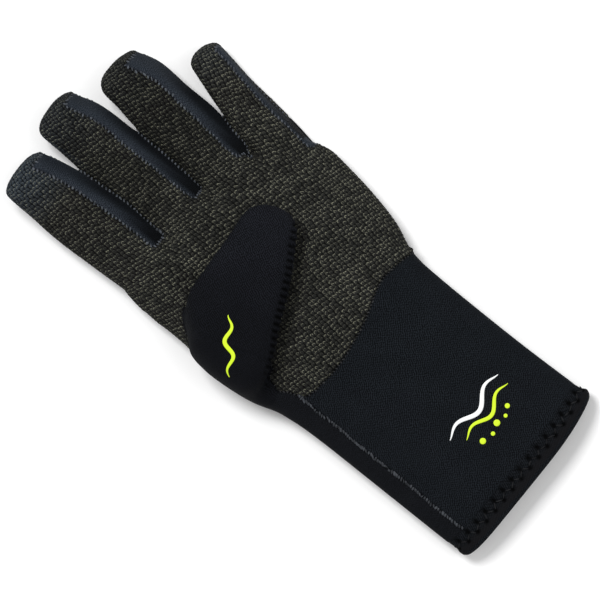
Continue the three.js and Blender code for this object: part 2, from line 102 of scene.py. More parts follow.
# Closed surface through rings, with a point at the middle of each end
def loft(rings):
    rows, count = rings.shape[:2]
    points = np.concatenate([rings.reshape(-1, 3), rings[0].mean(0)[None], rings[-1].mean(0)[None]])
    at = np.arange(count)
    after = (at + 1) % count
    faces = [(r * count + a, r * count + b, (r + 1) * count + b, (r + 1) * count + a)
             for r in range(rows - 1) for a, b in zip(at, after)]
    start = rows * count
    faces += [(start, b, a) for a, b in zip(at, after)]
    faces += [(start + 1, (rows - 1) * count + a, (rows - 1) * count + b) for a, b in zip(at, after)]
    return points, faces


# form of the glove: close to the fingers, palm, thumb and cuff of the CAD, with more stations

glove = {
    "palmLength": 104, "palmHeight": 21, "cuffLength": 118, "cuffWidth": 99.6, "cuffHeight": 18,
    "hemLength": 12.6, "mouthRise": 4.2, "webDrop": 15, "palmOrigin": 0.3, "sideStrip": 9.5, "backSeam": 7,
    "clothWall": 3, "floorPress": 1.5, "fingerGap": 2.1, "fingerSquash": 0.28, "handBoxiness": 2.9,
    "boxiness": 4, "frontSeam": 0.78, "hiddenSeam": 0.3, "lowSeam": -0.4, "gussetDepth": 0.3, "gussetStop": 3,
    "tipWrap": 13, "crotchDepth": 3, "fingerSwell": 0.5, "outlineSeam": -0.8,
    "flare": 0.14, "tipLength": 5.5, "tipPower": 2.3, "tipReach": 1.03,
}
fingerColumns = "along side wide deep turn lift"
fingers = [
    {"name": "index", "duller": 0.25, "width": 32.2, "depth": 23, "length": 76, "roll": 28, "splay": 1,
     "rows": tableRows(fingerColumns, [
         (-0.36, 0.02, 0.88, 0.82, 0.2, -0.08),
         (0.0, 0.01, 0.96, 0.97, 0.8, -0.02),
         (0.3, 0.02, 1.03, 1, 1, 0),
         (0.55, 0.0, 1.01, 1, 1, 0),
         (0.76, -0.01, 0.93, 0.92, 1, 0.08),
         (0.92, -0.045, 0.84, 0.78, 1, 0.25),
         (1.0, -0.05, 0.8, 0.68, 1, 0.36)])},
    {"name": "middle", "duller": 0.3, "width": 29.8, "depth": 22, "length": 83, "roll": 27, "splay": 1,
     "rows": tableRows(fingerColumns, [
         (-0.36, 0.0, 0.84, 0.82, 0.2, -0.08),
         (0.0, 0.0, 0.9, 0.97, 0.8, -0.02),
         (0.3, 0.02, 0.95, 1, 1, 0),
         (0.6, 0.02, 1.0, 1, 1, 0),
         (0.78, 0.03, 0.97, 0.93, 1, 0.08),
         (0.92, -0.01, 0.87, 0.8, 1, 0.25),
         (1.0, -0.03, 0.82, 0.7, 1, 0.36)])},
    {"name": "ring", "duller": 0.4, "width": 29, "depth": 24, "length": 76.5, "roll": 28, "splay": -3.4,
     "rows": tableRows(fingerColumns, [
         (-0.36, -0.02, 0.84, 0.78, 0.2, -0.08),
         (0.0, 0.0, 0.9, 0.92, 0.8, -0.02),
         (0.3, 0.04, 0.95, 0.97, 1, 0),
         (0.6, 0.03, 1.02, 1, 1, 0),
         (0.78, 0.045, 0.99, 0.93, 1, 0.08),
         (0.92, -0.005, 0.88, 0.78, 1, 0.24),
         (1.0, -0.03, 0.78, 0.66, 1, 0.34)])},
    {"name": "little", "duller": 0.1, "width": 18, "depth": 19, "length": 60, "roll": 10, "splay": -12.5,
     "rows": tableRows(fingerColumns, [
         (-0.42, 0.14, 1.3, 0.95, 0, -0.02),
         (0.0, 0.05, 1.22, 1, 0.8, 0),
         (0.3, -0.06, 1.18, 1, 1, 0),
         (0.6, -0.07, 1.05, 0.96, 1, 0.04),
         (0.8, -0.06, 0.96, 0.86, 1, 0.14),
         (1.0, -0.06, 0.86, 0.7, 1, 0.32)])},
]
thumb = {
    "length": 73, "width": 45, "height": 17, "heading": 19, "foldHeading": 2, "foldSide": 0.2,
    "clearance": 0.5, "foldPlace": 0.44, "bulge": 6, "boxiness": 2.7, "seamDrop": 0.22,
    "tipLength": 12, "tipPower": 2.3,
    "foldTurns": [20, 55, 90, 125, 155],
    "rows": tableRows("place wide tall side turn", [
        (0.02, 1.12, 1.0, 0.03, 0.3),
        (0.2, 1.11, 1.0, -0.04, 0.8),
        (0.43, 0.98, 1.0, -0.03, 1),
        (0.66, 0.81, 0.98, 0.0, 1),
        (0.82, 0.69, 0.94, 0.0, 1),
        (1.0, 0.6, 0.88, 0.01, 1)]),
}
wristY = -glove["palmOrigin"] * glove["palmLength"]
webY = wristY + glove["palmLength"]
hemY = wristY - glove["cuffLength"]
cuffMiddle = 0.024 * glove["cuffWidth"]
stationShare = 0.935  # how much of two fingers' half widths lies between their middle lines

for order, finger in enumerate(fingers):
    finger["rollAngle"] = math.radians(finger["roll"])
    a, b = finger["width"] / 2, finger["depth"] / 2
    finger["halfAcross"] = rolledHalf(a, b, finger["rollAngle"], glove["boxiness"])
    tall = rolledHalf(b, a, finger["rollAngle"], glove["boxiness"])
    finger["restHeight"] = tall * (1 - glove["fingerSquash"])
    finger["fromFirst"] = 0
    if order > 0:
        before = fingers[order - 1]
        roll = (before["rollAngle"] + finger["rollAngle"]) / 2
        facing = sum(own["width"] * own["rows"][1]["wide"] for own in (before, finger)) / 2
        apart = (facing * stationShare + glove["fingerGap"]) / math.cos(roll)
        finger["fromFirst"] = before["fromFirst"] + apart
knuckleWidth = fingers[0]["halfAcross"] + fingers[-1]["fromFirst"] + fingers[-1]["halfAcross"]
palmLeft = -0.45 * knuckleWidth
webStart = 0.75  # share of the index finger's half width, and of the span, where the web begins and ends
for finger in fingers:
    finger["rootX"] = palmLeft + fingers[0]["halfAcross"] + finger["fromFirst"]
rootSpan = fingers[-1]["rootX"] - fingers[0]["rootX"]


def webFall(x):
    start = fingers[0]["rootX"] + fingers[0]["halfAcross"] * webStart
    share = np.maximum(0, x - start) / (rootSpan * webStart)
    return glove["webDrop"] * share * share


for finger in fingers:
    finger["rootY"] = webY - float(webFall(finger["rootX"] - finger["halfAcross"]))
    splay = math.radians(-finger["splay"])
    finger["heading"] = np.array([math.sin(splay), math.cos(splay), 0])
    finger["sideways"] = np.array([math.cos(splay), -math.sin(splay), 0])
    finger["root"] = np.array([finger["rootX"], finger["rootY"], finger["restHeight"]])


def fingerCentres(finger, along):
    rows = finger["rows"]
    return (finger["root"] + np.outer(along * finger["length"], finger["heading"])
            + np.outer(column(rows, "side", along) * finger["width"], finger["sideways"])
            + np.outer(column(rows, "lift", along) * finger["depth"], [0, 0, 1]))


def fingerFrames(finger, along):
    rows, step = finger["rows"], 0.02
    along = np.atleast_1d(along)
    forward = unit(fingerCentres(finger, along + step) - fingerCentres(finger, along - step))
    sideways = finger["sideways"]
    across = unit(sideways - forward * (forward @ sideways)[:, None])
    up = np.cross(across, forward)
    roll = finger["rollAngle"] * column(rows, "turn", along)[:, None]
    return {"centre": fingerCentres(finger, along), "forward": forward,
            "wide": across * np.cos(roll) + up * np.sin(roll),
            "deep": up * np.cos(roll) - across * np.sin(roll),
            "a": column(rows, "wide", along) * finger["width"] / 2 + glove["fingerSwell"],
            "b": column(rows, "deep", along) * finger["depth"] / 2}


def framedRings(frames, keep, sx, sz):
    x = (frames["a"] * keep)[:, None] * sx[None]
    z = (frames["b"] * keep)[:, None] * sz[None]
    return (frames["centre"][:, None] + frames["wide"][:, None] * x[..., None]
            + frames["deep"][:, None] * z[..., None])


def fingerLoft(finger):
    reach = glove["tipReach"]
    along = np.concatenate([np.linspace(finger["rows"][0]["along"], 0.9, 90),
                            np.linspace(0.905, reach, 50)])  # closer together over the tip
    keep = domeKeep((reach - along) * finger["length"], glove["tipLength"], glove["tipPower"])
    sx, sz = roundedBox(72, glove["boxiness"])
    frames = fingerFrames(finger, along)
    rings = framedRings(frames, keep, sx, -sz)
    spread = glove["flare"] * (1 - ease(0.3, 0.62, along))[:, None] * ease(0.1, 0.9, sz)[None] * sx[None]
    return loft(rings + frames["wide"][:, None] * (spread * frames["a"][:, None])[..., None])


cuffEdge = lambda share: cuffMiddle + share * glove["cuffWidth"]
palmEdge = lambda share: palmLeft + share * knuckleWidth
cuffRow = lambda share: hemY + (wristY - hemY) * share
palmRow = lambda share: wristY + (webY - wristY) * share
cuffHeight, palmHeight = glove["cuffHeight"], glove["palmHeight"]
handRows = tableRows("y left right height fall rise", [
    (hemY + 0.8, cuffEdge(-0.497), cuffEdge(0.52), 0.95 * cuffHeight, 0, 1),
    (cuffRow(0.12), cuffEdge(-0.504), cuffEdge(0.517), 0.97 * cuffHeight, 0, 0.6),
    (cuffRow(0.45), cuffEdge(-0.507), cuffEdge(0.506), cuffHeight, 0, 0),
    (cuffRow(0.85), cuffEdge(-0.512), cuffEdge(0.506), 1.03 * cuffHeight, 0, 0),
    (palmRow(0.02), palmEdge(0.013), palmEdge(0.92), 0.96 * palmHeight, 0, 0),
    (palmRow(0.18), palmEdge(-0.022), palmEdge(0.975), palmHeight, 0, 0),
    (palmRow(0.4), palmEdge(-0.022), palmEdge(1.012), palmHeight, 0.15, 0),
    (palmRow(0.65), palmEdge(-0.019), palmEdge(1.034), palmHeight, 0.4, 0),
    (palmRow(0.84), palmEdge(-0.013), palmEdge(1.04), 0.95 * palmHeight, 0.75, 0),
    (palmRow(0.96), palmEdge(0), palmEdge(1.022), 0.86 * palmHeight, 0.95, 0),
    (palmRow(1.02), palmEdge(0.025), palmEdge(1.0), 0.72 * palmHeight, 1, 0),
    (palmRow(1.045), palmEdge(0.06), palmEdge(0.96), 0.55 * palmHeight, 1, 0),
])
handPlaces = np.arange(len(handRows), dtype=float)


def handColumn(key, at):
    return curveThrough(handPlaces, [row[key] for row in handRows], at)


# How far the mouth's corners lie above its middle: more on the little finger's side
def mouthLift(x):
    side = np.clip((x - cuffMiddle) / (glove["cuffWidth"] / 2), -1.05, 1.05)
    rise = glove["mouthRise"]
    return np.where(side > 0, rise * np.abs(side) ** 3.2, 0.6 * rise * np.abs(side) ** 8)


# Rings of the flattened palm and cuff tube, between two places in its table of rows
def handRings(at, count, inset=0.0):
    sx, sz = roundedBox(count, glove["handBoxiness"])
    left, right = handColumn("left", at), handColumn("right", at)
    half = (right - left)[:, None] / 2 - inset
    tall = (handColumn("height", at)[:, None] + glove["floorPress"]) / 2 - inset
    x = -half * sx[None] + (left + right)[:, None] / 2
    z = tall * sz[None] + (handColumn("height", at)[:, None] - glove["floorPress"]) / 2
    y = (handColumn("y", at)[:, None] - webFall(x) * handColumn("fall", at)[:, None]
         + handColumn("rise", at)[:, None] * mouthLift(x))
    return np.stack([x, y, z], -1)


def inPlane(angle):
    return np.array([math.cos(math.radians(angle)), math.sin(math.radians(angle)), 0])


heading, thumbAcross = inPlane(thumb["heading"]), inPlane(thumb["heading"] - 90)
foldForward, foldAcross = inPlane(thumb["foldHeading"]), inPlane(thumb["foldHeading"] - 90)
thumbTop = palmHeight + thumb["clearance"] + thumb["height"] / 2
foldRadius = (thumbTop - thumb["height"] / 2 - glove["clothWall"] / 2) / 2 + 0.5
foldCentre = np.array([palmLeft - thumb["bulge"] + (foldRadius + thumb["height"] / 2) * heading[0],
                       wristY + thumb["foldPlace"] * glove["palmLength"], thumbTop - foldRadius])


def thumbStations():
    stations = []
    upward = np.array([0, 0, 1.0])
    for turn in thumb["foldTurns"]:
        angle, share = math.radians(turn), turn / 180
        stations.append(np.concatenate([
            foldCentre - foldForward * foldRadius * math.sin(angle) - upward * foldRadius * math.cos(angle)
            + foldAcross * thumb["foldSide"] * (1 - 0.6 * share) * thumb["width"],
            foldAcross, -foldForward * math.sin(angle) - upward * math.cos(angle),
            [thumb["width"] * (0.86 + 0.16 * share) / 2, thumb["height"] * (0.72 + 0.28 * share) / 2]]))
    for row in thumb["rows"]:
        facing = thumb["foldHeading"] + (thumb["heading"] - thumb["foldHeading"]) * row["turn"]
        stations.append(np.concatenate([
            foldCentre + heading * row["place"] * thumb["length"] + thumbAcross * row["side"] * thumb["width"]
            + upward * foldRadius,
            inPlane(facing - 90), upward,
            [row["wide"] * thumb["width"] / 2, row["tall"] * thumb["height"] / 2]]))
    return np.array(stations)


def thumbLoft():
    stations = thumbStations()
    places = np.arange(len(stations), dtype=float)
    at = np.concatenate([np.linspace(0, places[-2], 130),
                         np.linspace(places[-2], places[-1], 42)[1:]])  # closer together over the tip
    columns = np.stack([curveThrough(places, stations[:, c], at) for c in range(stations.shape[1])], 1)
    frames = {"centre": columns[:, 0:3], "wide": unit(columns[:, 3:6]), "deep": unit(columns[:, 6:9]),
              "a": columns[:, 9], "b": columns[:, 10]}
    fromTip = np.linalg.norm(frames["centre"] - frames["centre"][-1], axis=1)
    sx, sz = roundedBox(72, thumb["boxiness"])
    return loft(framedRings(frames, domeKeep(fromTip, thumb["tipLength"], thumb["tipPower"]), sx, -sz))


# Cloth that is stretched between the palm and the thumb's fold. wide and tall: half sizes
thumbWeb = tableRows("x y z wide tall", [
    (-30, 39, 25, 4, 7.5),
    (-36.5, 36.5, 24, 6.5, 10.5),
    (-42, 28, 20, 8, 14),
    (-45.5, 17, 17, 8, 15.5),
    (-49, 3, 15, 7.5, 15),
    (-47.5, -11, 12, 8, 12.5),
    (-44.5, -24, 9.5, 7, 9.5),
    (-41, -36, 8.5, 6, 8),
])


def webLoft():
    places = np.arange(len(thumbWeb), dtype=float)
    at = np.linspace(0, places[-1], 80)
    x, y, z, wide, tall = (curveThrough(places, [row[key] for row in thumbWeb], at)
                           for key in ("x", "y", "z", "wide", "tall"))
    centre = np.stack([x, y, z], 1)
    forward = unit(np.gradient(centre, axis=0) * [1, 1, 0])
    across = np.cross(forward, [0, 0, 1.0])
    keep = domeKeep(np.minimum(at, places[-1] - at), 0.6, 2.2)
    upward = np.tile([0, 0, 1.0], (len(at), 1))
    frames = {"centre": centre, "wide": across, "deep": upward, "a": wide, "b": tall}
    sx, sz = roundedBox(40, 2.4)
    return loft(framedRings(frames, keep, sx, -sz))


# base surface: all the tubes joined into one skin, pressed on the floor and smoothed

skin = {
    "voxel": 0.55, "start": 2.5, "smoothing": 7, "floorEdge": 1.6, "floorSink": 0.3, "lowest": 0.02,
    "blendSteps": 70, "knuckleStart": (34, 50), "knuckleEnd": (70, 84), "knuckleBase": (8, 14),
    "foldSteps": 240, "foldRight": (-36, -26), "foldStart": (-34, -20), "foldEnd": (40, 50),
    "foldBase": (2, 6),
}


def meshArrays(mesh):
    points = np.empty(len(mesh.vertices) * 3)
    mesh.vertices.foreach_get("co", points)
    corners = np.empty(len(mesh.loops), int)
    mesh.loops.foreach_get("vertex_index", corners)
    return points.reshape(-1, 3), corners.reshape(-1, 4)


def joined(parts):
    points, faces, base = [], [], 0
    for partPoints, partFaces in parts:
        points.append(partPoints)
        faces += [tuple(base + i for i in face) for face in partFaces]
        base += len(partPoints)
    return np.concatenate(points), faces


def placeInScene(name, data):
    thing = bpy.data.objects.new(name, data)
    bpy.context.scene.collection.objects.link(thing)
    return thing


def joinedSkin():
    rings = handRings(np.linspace(0, len(handRows) - 1, 260), 200)
    rings[0, :, 1] += skin["start"]  # the hem is made apart, so the skin starts inside it
    points, faces = joined([loft(rings), thumbLoft(), webLoft()] + [fingerLoft(finger) for finger in fingers])
    mesh = bpy.data.meshes.new("joinedSkin")
    mesh.from_pydata(points.tolist(), [], faces)
    thing = placeInScene("joinedSkin", mesh)
    remesh = thing.modifiers.new("join", "REMESH")
    remesh.mode = "VOXEL"
    remesh.voxel_size = skin["voxel"]
    made = bpy.data.meshes.new_from_object(thing.evaluated_get(bpy.context.evaluated_depsgraph_get()))
    arrays = meshArrays(made)
    bpy.data.objects.remove(thing)
    bpy.data.meshes.remove(mesh)
    bpy.data.meshes.remove(made)
    return arrays


# The sides of all faces, first sides first, each with its lower point first
def quadSides(quads):
    sides = np.concatenate([quads[:, [0, 1]], quads[:, [1, 2]], quads[:, [2, 3]], quads[:, [3, 0]]])
    return np.sort(sides, 1)


# For each point, the sum of the places of its neighbours along the given edges
def neighbourSum(points, edges):
    one, other = edges[:, 0], edges[:, 1]
    return np.stack([np.bincount(one, points[other, c], len(points))
                     + np.bincount(other, points[one, c], len(points)) for c in range(3)], 1)


def relax(points, edges, steps, weight=None):
    count = np.bincount(edges.ravel(), minlength=len(points))[:, None]
    share = 0.5 if weight is None else 0.5 * weight[:, None]
    for _ in range(steps):
        points = points + (neighbourSum(points, edges) / np.maximum(count, 1) - points) * share
    return points


def normalsOf(points, quads):
    cross = np.cross(points[quads[:, 2]] - points[quads[:, 0]], points[quads[:, 3]] - points[quads[:, 1]])
    total = [sum(np.bincount(quads[:, k], cross[:, c], len(points)) for k in range(4)) for c in range(3)]
    return unit(np.stack(total, 1))


def pressOnFloor(points):
    pressed = points.copy()
    soft = 0.5 * (points[:, 2] + np.sqrt(points[:, 2] ** 2 + skin["floorEdge"] ** 2))
    pressed[:, 2] = np.maximum(skin["lowest"], soft - skin["floorSink"])
    return pressed


print("skin: joining the tubes")
points, quads = joinedSkin()
edges = np.unique(quadSides(quads), axis=0)
points = relax(points, edges, skin["smoothing"])
knuckles = (ease(*skin["knuckleStart"], points[:, 1]) * ease(*skin["knuckleBase"], points[:, 2])
            * (1 - ease(*skin["knuckleEnd"], points[:, 1] + webFall(points[:, 0]))))
onThumb = ((points - foldCentre) @ thumbAcross < 30) & (points[:, 2] > palmHeight + 1) & (points[:, 1] < 52)
points = relax(points, edges, skin["blendSteps"], knuckles * ~onThumb)
nearFold = ((1 - ease(*skin["foldRight"], points[:, 0])) * ease(*skin["foldStart"], points[:, 1])
            * (1 - ease(*skin["foldEnd"], points[:, 1])) * ease(*skin["foldBase"], points[:, 2]))
points = relax(points, edges, skin["foldSteps"], nearFold)
points = pressOnFloor(points)
print("skin:", len(points), "points")


# panels: each face of the skin belongs to one piece of cloth

# Where points lie in a finger's own frame: along it from 0 to 1, over and up in mm, and its half sizes there
def fingerLocal(finger, where):
    along = (where - finger["root"]) @ finger["heading"] / finger["length"]
    stations = np.linspace(finger["rows"][0]["along"], 1.0, 160)
    frames = fingerFrames(finger, stations)
    at = np.clip((along - stations[0]) / (stations[1] - stations[0]), 0, len(stations) - 1.001)
    k = at.astype(int)
    t = at - k
    size = lambda key: frames[key][k] * (1 - t) + frames[key][k + 1] * t
    place = lambda key: frames[key][k] * (1 - t)[:, None] + frames[key][k + 1] * t[:, None]
    away = where - place("centre")
    return {"along": along, "x": np.sum(away * place("wide"), 1), "z": np.sum(away * place("deep"), 1),
            "a": size("a"), "b": size("b")}


def nearestFinger(local):
    away = [np.abs(own["x"] / own["a"]) ** 4 + np.abs(own["z"] / own["b"]) ** 4 for own in local]
    return np.argmin(away, 0)


# The seam between palm and cuff, from the thumb's side: shares of the cuff's width and of the palm's length
wristSeam = [(-0.53, 0.2), (-0.49, 0.16), (-0.425, 0.075), (-0.385, -0.012), (-0.3, -0.032), (-0.15, -0.042),
             (0.1, -0.005), (0.3, 0.055), (0.42, 0.045), (0.53, 0.02)]
wristX = np.array([cuffMiddle + across * glove["cuffWidth"] for across, up in wristSeam])
wristUp = np.array([wristY + up * glove["palmLength"] for across, up in wristSeam])
stripX = cuffEdge(-0.5) + glove["sideStrip"]
thumbTopSeam = np.array([(-64, 15), (-57, 22), (-52.7, 28.1), (-46.5, 36), (-41, 42), (-37, 44.6), (-33, 45)])
thumbLowSeam = np.array([(-64, -11), (-56, -12), (-46, -14.7), (-40, -12)])
panelNames = ["knit_palm", "back_of_hand", "thumb_top", "thumb_underside", "cuff_cloth", "cuff_strip",
              "index_back_cloth", "middle_back_cloth", "ring_back_cloth", "little_back_cloth",
              "index_middle_side", "middle_ring_side", "ring_little_side", "index_outer_side",
              "little_outer_side", "under_hem"]
panelId = {name: k for k, name in enumerate(panelNames)}
knitNames = ["knit_palm", "thumb_underside"] + [finger["name"] + "_back_cloth" for finger in fingers]
knitPanels = [panelId[name] for name in knitNames]
slotNames = ["index_middle_side", "middle_ring_side", "ring_little_side"]  # in the fingers' order


# How far a point lies outside the palm and cuff tube
def outsideHand(where):
    at = np.interp(where[:, 1], [row["y"] for row in handRows], handPlaces)
    left, right, height = (handColumn(key, at) for key in ("left", "right", "height"))
    half, tall = (right - left) / 2, (height + glove["floorPress"]) / 2
    power = glove["handBoxiness"]
    radius = (np.abs((where[:, 0] - (left + right) / 2) / half) ** power
              + np.abs((where[:, 2] - (height - glove["floorPress"]) / 2) / tall) ** power) ** (1 / power)
    return (radius - 1) * tall


# Limits of the thumb and of its base on the hand, in mm on the plan, and how far it clears the palm
thumbZone = {"across": 32, "behind": -26, "top": 53, "bottom": -22, "clear": 0.7,
             "baseRight": -34, "baseLow": 6}
# The cloth between two fingers' roots: shares of a finger's half width and of the palm's height, and how flat
crotchForm = {"inset": 0.55, "top": 0.8, "steep": 0.45}
wholeSide = 2  # beyond any share of a finger's half width or half depth


def classify(where, facing):
    x, y, z = where.T
    label = np.full(len(where), panelId["knit_palm"])
    free = np.ones(len(where), bool)

    def take(mask, name):
        mask = mask & free
        label[mask] = panelId[name]
        free[mask] = False

    hemLine = hemY + glove["hemLength"] + mouthLift(x) * 0.6
    take(y < hemLine, "under_hem")
    fromFold = where - foldCentre
    onThumb = ((np.abs(fromFold @ thumbAcross) < thumbZone["across"]) & (y < thumbZone["top"])
               & (fromFold @ heading > thumbZone["behind"]) & (y > thumbZone["bottom"]))
    over = onThumb & (outsideHand(where) > thumbZone["clear"])
    base = ((x < thumbZone["baseRight"]) & (z > thumbZone["baseLow"])
            & (y < np.interp(x, *thumbTopSeam.T)) & (y > np.interp(x, *thumbLowSeam.T)))
    low = thumbTop - thumb["seamDrop"] * thumb["height"]
    under = (z < low) & (fromFold @ heading > foldRadius) & (z > palmHeight - 2)
    take((over | base) & under, "thumb_underside")
    take(over | base, "thumb_top")
    below = y < curveThrough(wristX, wristUp, x)
    take(below & (x < stripX), "cuff_strip")
    take(below, "cuff_cloth")
    local = [fingerLocal(finger, where) for finger in fingers]
    near = nearestFinger(local)

    def slab(k, low, high, wide, deep):
        own, across = local[k], local[k]["x"] / local[k]["a"]
        depth = own["z"] / own["b"]
        return ((near == k) & (own["along"] > low) & (own["along"] < high) & (across > wide[0])
                & (across < wide[1]) & (depth > deep[0]) & (depth < deep[1]))

    endShare = [1 - glove["gussetStop"] / finger["length"] for finger in fingers]
    tipShare = [1 - glove["tipWrap"] / finger["length"] for finger in fingers]
    inner, lowSeam = glove["gussetDepth"], glove["lowSeam"]
    for k, finger in enumerate(fingers):
        for right, top in ((0.8, lowSeam), (wholeSide, glove["outlineSeam"])):
            back = slab(k, 0.01, tipShare[k], (-wholeSide, right), (-wholeSide, top))
            take(back, finger["name"] + "_back_cloth")
    for k, name in enumerate(slotNames):
        right = slab(k, 0, endShare[k], (inner, wholeSide), (glove["outlineSeam"], glove["frontSeam"]))
        left = slab(k + 1, 0, endShare[k + 1], (-wholeSide, -inner), (lowSeam, glove["hiddenSeam"]))
        one, other = fingerFrames(fingers[k], 0), fingerFrames(fingers[k + 1], 0)
        oneY, otherY = one["centre"][0, 1], other["centre"][0, 1]
        oneX = one["centre"][0, 0] + one["a"][0] * crotchForm["inset"]
        otherX = other["centre"][0, 0] - other["a"][0] * crotchForm["inset"]
        crotch = ((x > oneX) & (x < otherX) & (z > glove["backSeam"]) & (z < palmHeight * crotchForm["top"])
                  & (y > min(oneY, otherY) - glove["crotchDepth"])
                  & (y < max(oneY, otherY) + glove["crotchDepth"]) & (facing[:, 2] < crotchForm["steep"]))
        take(right | left | crotch, name)
    take(slab(0, -0.2, endShare[0], (-wholeSide, -inner), (lowSeam, glove["hiddenSeam"])), "index_outer_side")
    take(slab(3, -0.2, endShare[3], (inner, wholeSide), (lowSeam, glove["frontSeam"])), "little_outer_side")
    rootY = np.interp(x, [finger["rootX"] for finger in fingers], [finger["rootY"] for finger in fingers])
    take((z < glove["backSeam"]) & (y < rootY + 4), "back_of_hand")
    return label


print("panels: sorting the faces")
skinNormals = normalsOf(points, quads)
label = classify(points[quads].mean(1), unit(skinNormals[quads].mean(1)))


def facePairs(quads):
    corner = quadSides(quads)
    face = np.tile(np.arange(len(quads)), 4)
    order = np.lexsort((corner[:, 1], corner[:, 0]))
    corner, face = corner[order], face[order]
    same = np.all(corner[1:] == corner[:-1], 1)
    return face[:-1][same], face[1:][same], corner[:-1][same]


# Drops stray faces and specks, so that each panel is one patch with a clean edge
def cleaned(label, one, other, smallest=160):
    kinds = len(panelNames)
    for _ in range(4):
        votes = np.zeros((len(label), kinds), int)
        np.add.at(votes, (one, label[other]), 1)
        np.add.at(votes, (other, label[one]), 1)
        best = votes.argmax(1)
        label = np.where(votes.max(1) >= 3, best, label)
    for _ in range(3):
        patch = np.arange(len(label))
        same = label[one] == label[other]
        a, b = one[same], other[same]
        while True:
            low = np.minimum(patch[a], patch[b])
            before = patch.copy()
            np.minimum.at(patch, a, low)
            np.minimum.at(patch, b, low)
            patch = patch[patch]
            if np.array_equal(before, patch):
                break
        size = np.bincount(patch, minlength=len(label))[patch]
        speck = size < smallest
        if not speck.any():
            break
        for _ in range(40):
            edge = speck[one] & ~speck[other]
            label[one[edge]], speck[one[edge]] = label[other[edge]], False
            edge = speck[other] & ~speck[one]
            label[other[edge]], speck[other[edge]] = label[one[edge]], False
    return label


one, other, between = facePairs(quads)
label = cleaned(label, one, other)
seamEdge = label[one] != label[other]
seamLinks = between[seamEdge]
seamPair = np.sort(np.stack([label[one][seamEdge], label[other][seamEdge]], 1), 1)


# Seams run along smooth lines: their points are relaxed along the line, then laid back on the skin
def smoothSeams(points):
    surface = BVHTree.FromPolygons(points.tolist(), quads.tolist())
    degree = np.bincount(seamLinks.ravel(), minlength=len(points))
    weight = np.where(degree == 2, 1.0, 0.0)
    moved = points.copy()
    for _ in range(26):
        middle = neighbourSum(moved, seamLinks) / np.maximum(degree, 1)[:, None]
        moved += (middle - moved) * 0.5 * weight[:, None]
    near = degree > 0
    ring = near.copy()
    for _ in range(4):
        spread = ring.copy()
        spread[edges[ring[edges[:, 0]]][:, 1]] = True
        spread[edges[ring[edges[:, 1]]][:, 0]] = True
        ring = spread
    moved = relax(moved, edges, 8, (ring & ~near).astype(float))
    for k in np.nonzero(ring)[0]:
        moved[k] = surface.find_nearest(Vector(moved[k]))[0]
    return moved


print("seams: smoothing the lines between the panels")
points = smoothSeams(points)


# distance of each point to the nearest seam, and which kind of seam that is

seamKinds = {"plain": 0, "wrist": 1, "slot": 2, "ladder": 3, "cuff": 4, "thumb": 5, "flush": 6}
sidePanels = [panelId[name] for name in panelNames if name.endswith("_side")]


def kindOf(pair):
    a, b = pair
    if a == 0 and b in sidePanels:
        return "slot"
    if b in (4, 5) and a in (0, 1):
        return "wrist"
    if (a, b) == (4, 5):
        return "cuff"
    if (a, b) == (2, 5):
        return "flush"
    if (a, b) in ((0, 2), (2, 3)):
        return "ladder" if (a, b) == (2, 3) else "thumb"
    return "plain"


linkKind = np.array([seamKinds[kindOf(tuple(pair))] for pair in seamPair])


def seamDistance(points):
    samples, kinds = [], []
    for share in (0, 0.25, 0.5, 0.75):
        samples.append(points[seamLinks[:, 0]] * (1 - share) + points[seamLinks[:, 1]] * share)
        kinds.append(linkKind)
    samples, kinds = np.concatenate(samples), np.concatenate(kinds)
    tree = KDTree(len(samples))
    for k, point in enumerate(samples):
        tree.insert(point, k)
    tree.balance()
    found = [tree.find(point) for point in points]
    return np.array([f[2] for f in found]), kinds[[f[1] for f in found]]


distance, kind = seamDistance(points)
pointLabel = np.full(len(points), -1)
for k in range(4):
    pointLabel[quads[:, k]] = label
isKnit = np.isin(pointLabel, knitPanels)


# fabric coordinates: millimetres along and across the knit, which follow the fingers and wrap round the sides

# Slow waves that keep the knit's rows from running dead straight: height, rates over and up, start
rowWaves = [(0.5, 0.07, 0.11, 0), (0.25, 0.31, 0, 1.3), (0.22, 0.6, 1.1, 0)]
columnWaves = [(0.5, 0.13, -0.05, 2.0), (0.25, 0, 0.27, 0), (0.22, 1.2, -0.4, 0)]


def waves(x, y, table):
    return sum(height * np.sin(rateX * x + rateY * y + start) for height, rateX, rateY, start in table)


def wrapAcross(x, z, half, tall):
    side = np.clip(x / half, -1.2, 1.2)
    return x + np.sign(x) * ease(0.55, 1.0, np.abs(side)) * np.clip(tall - z, 0, 2 * tall) * 0.9


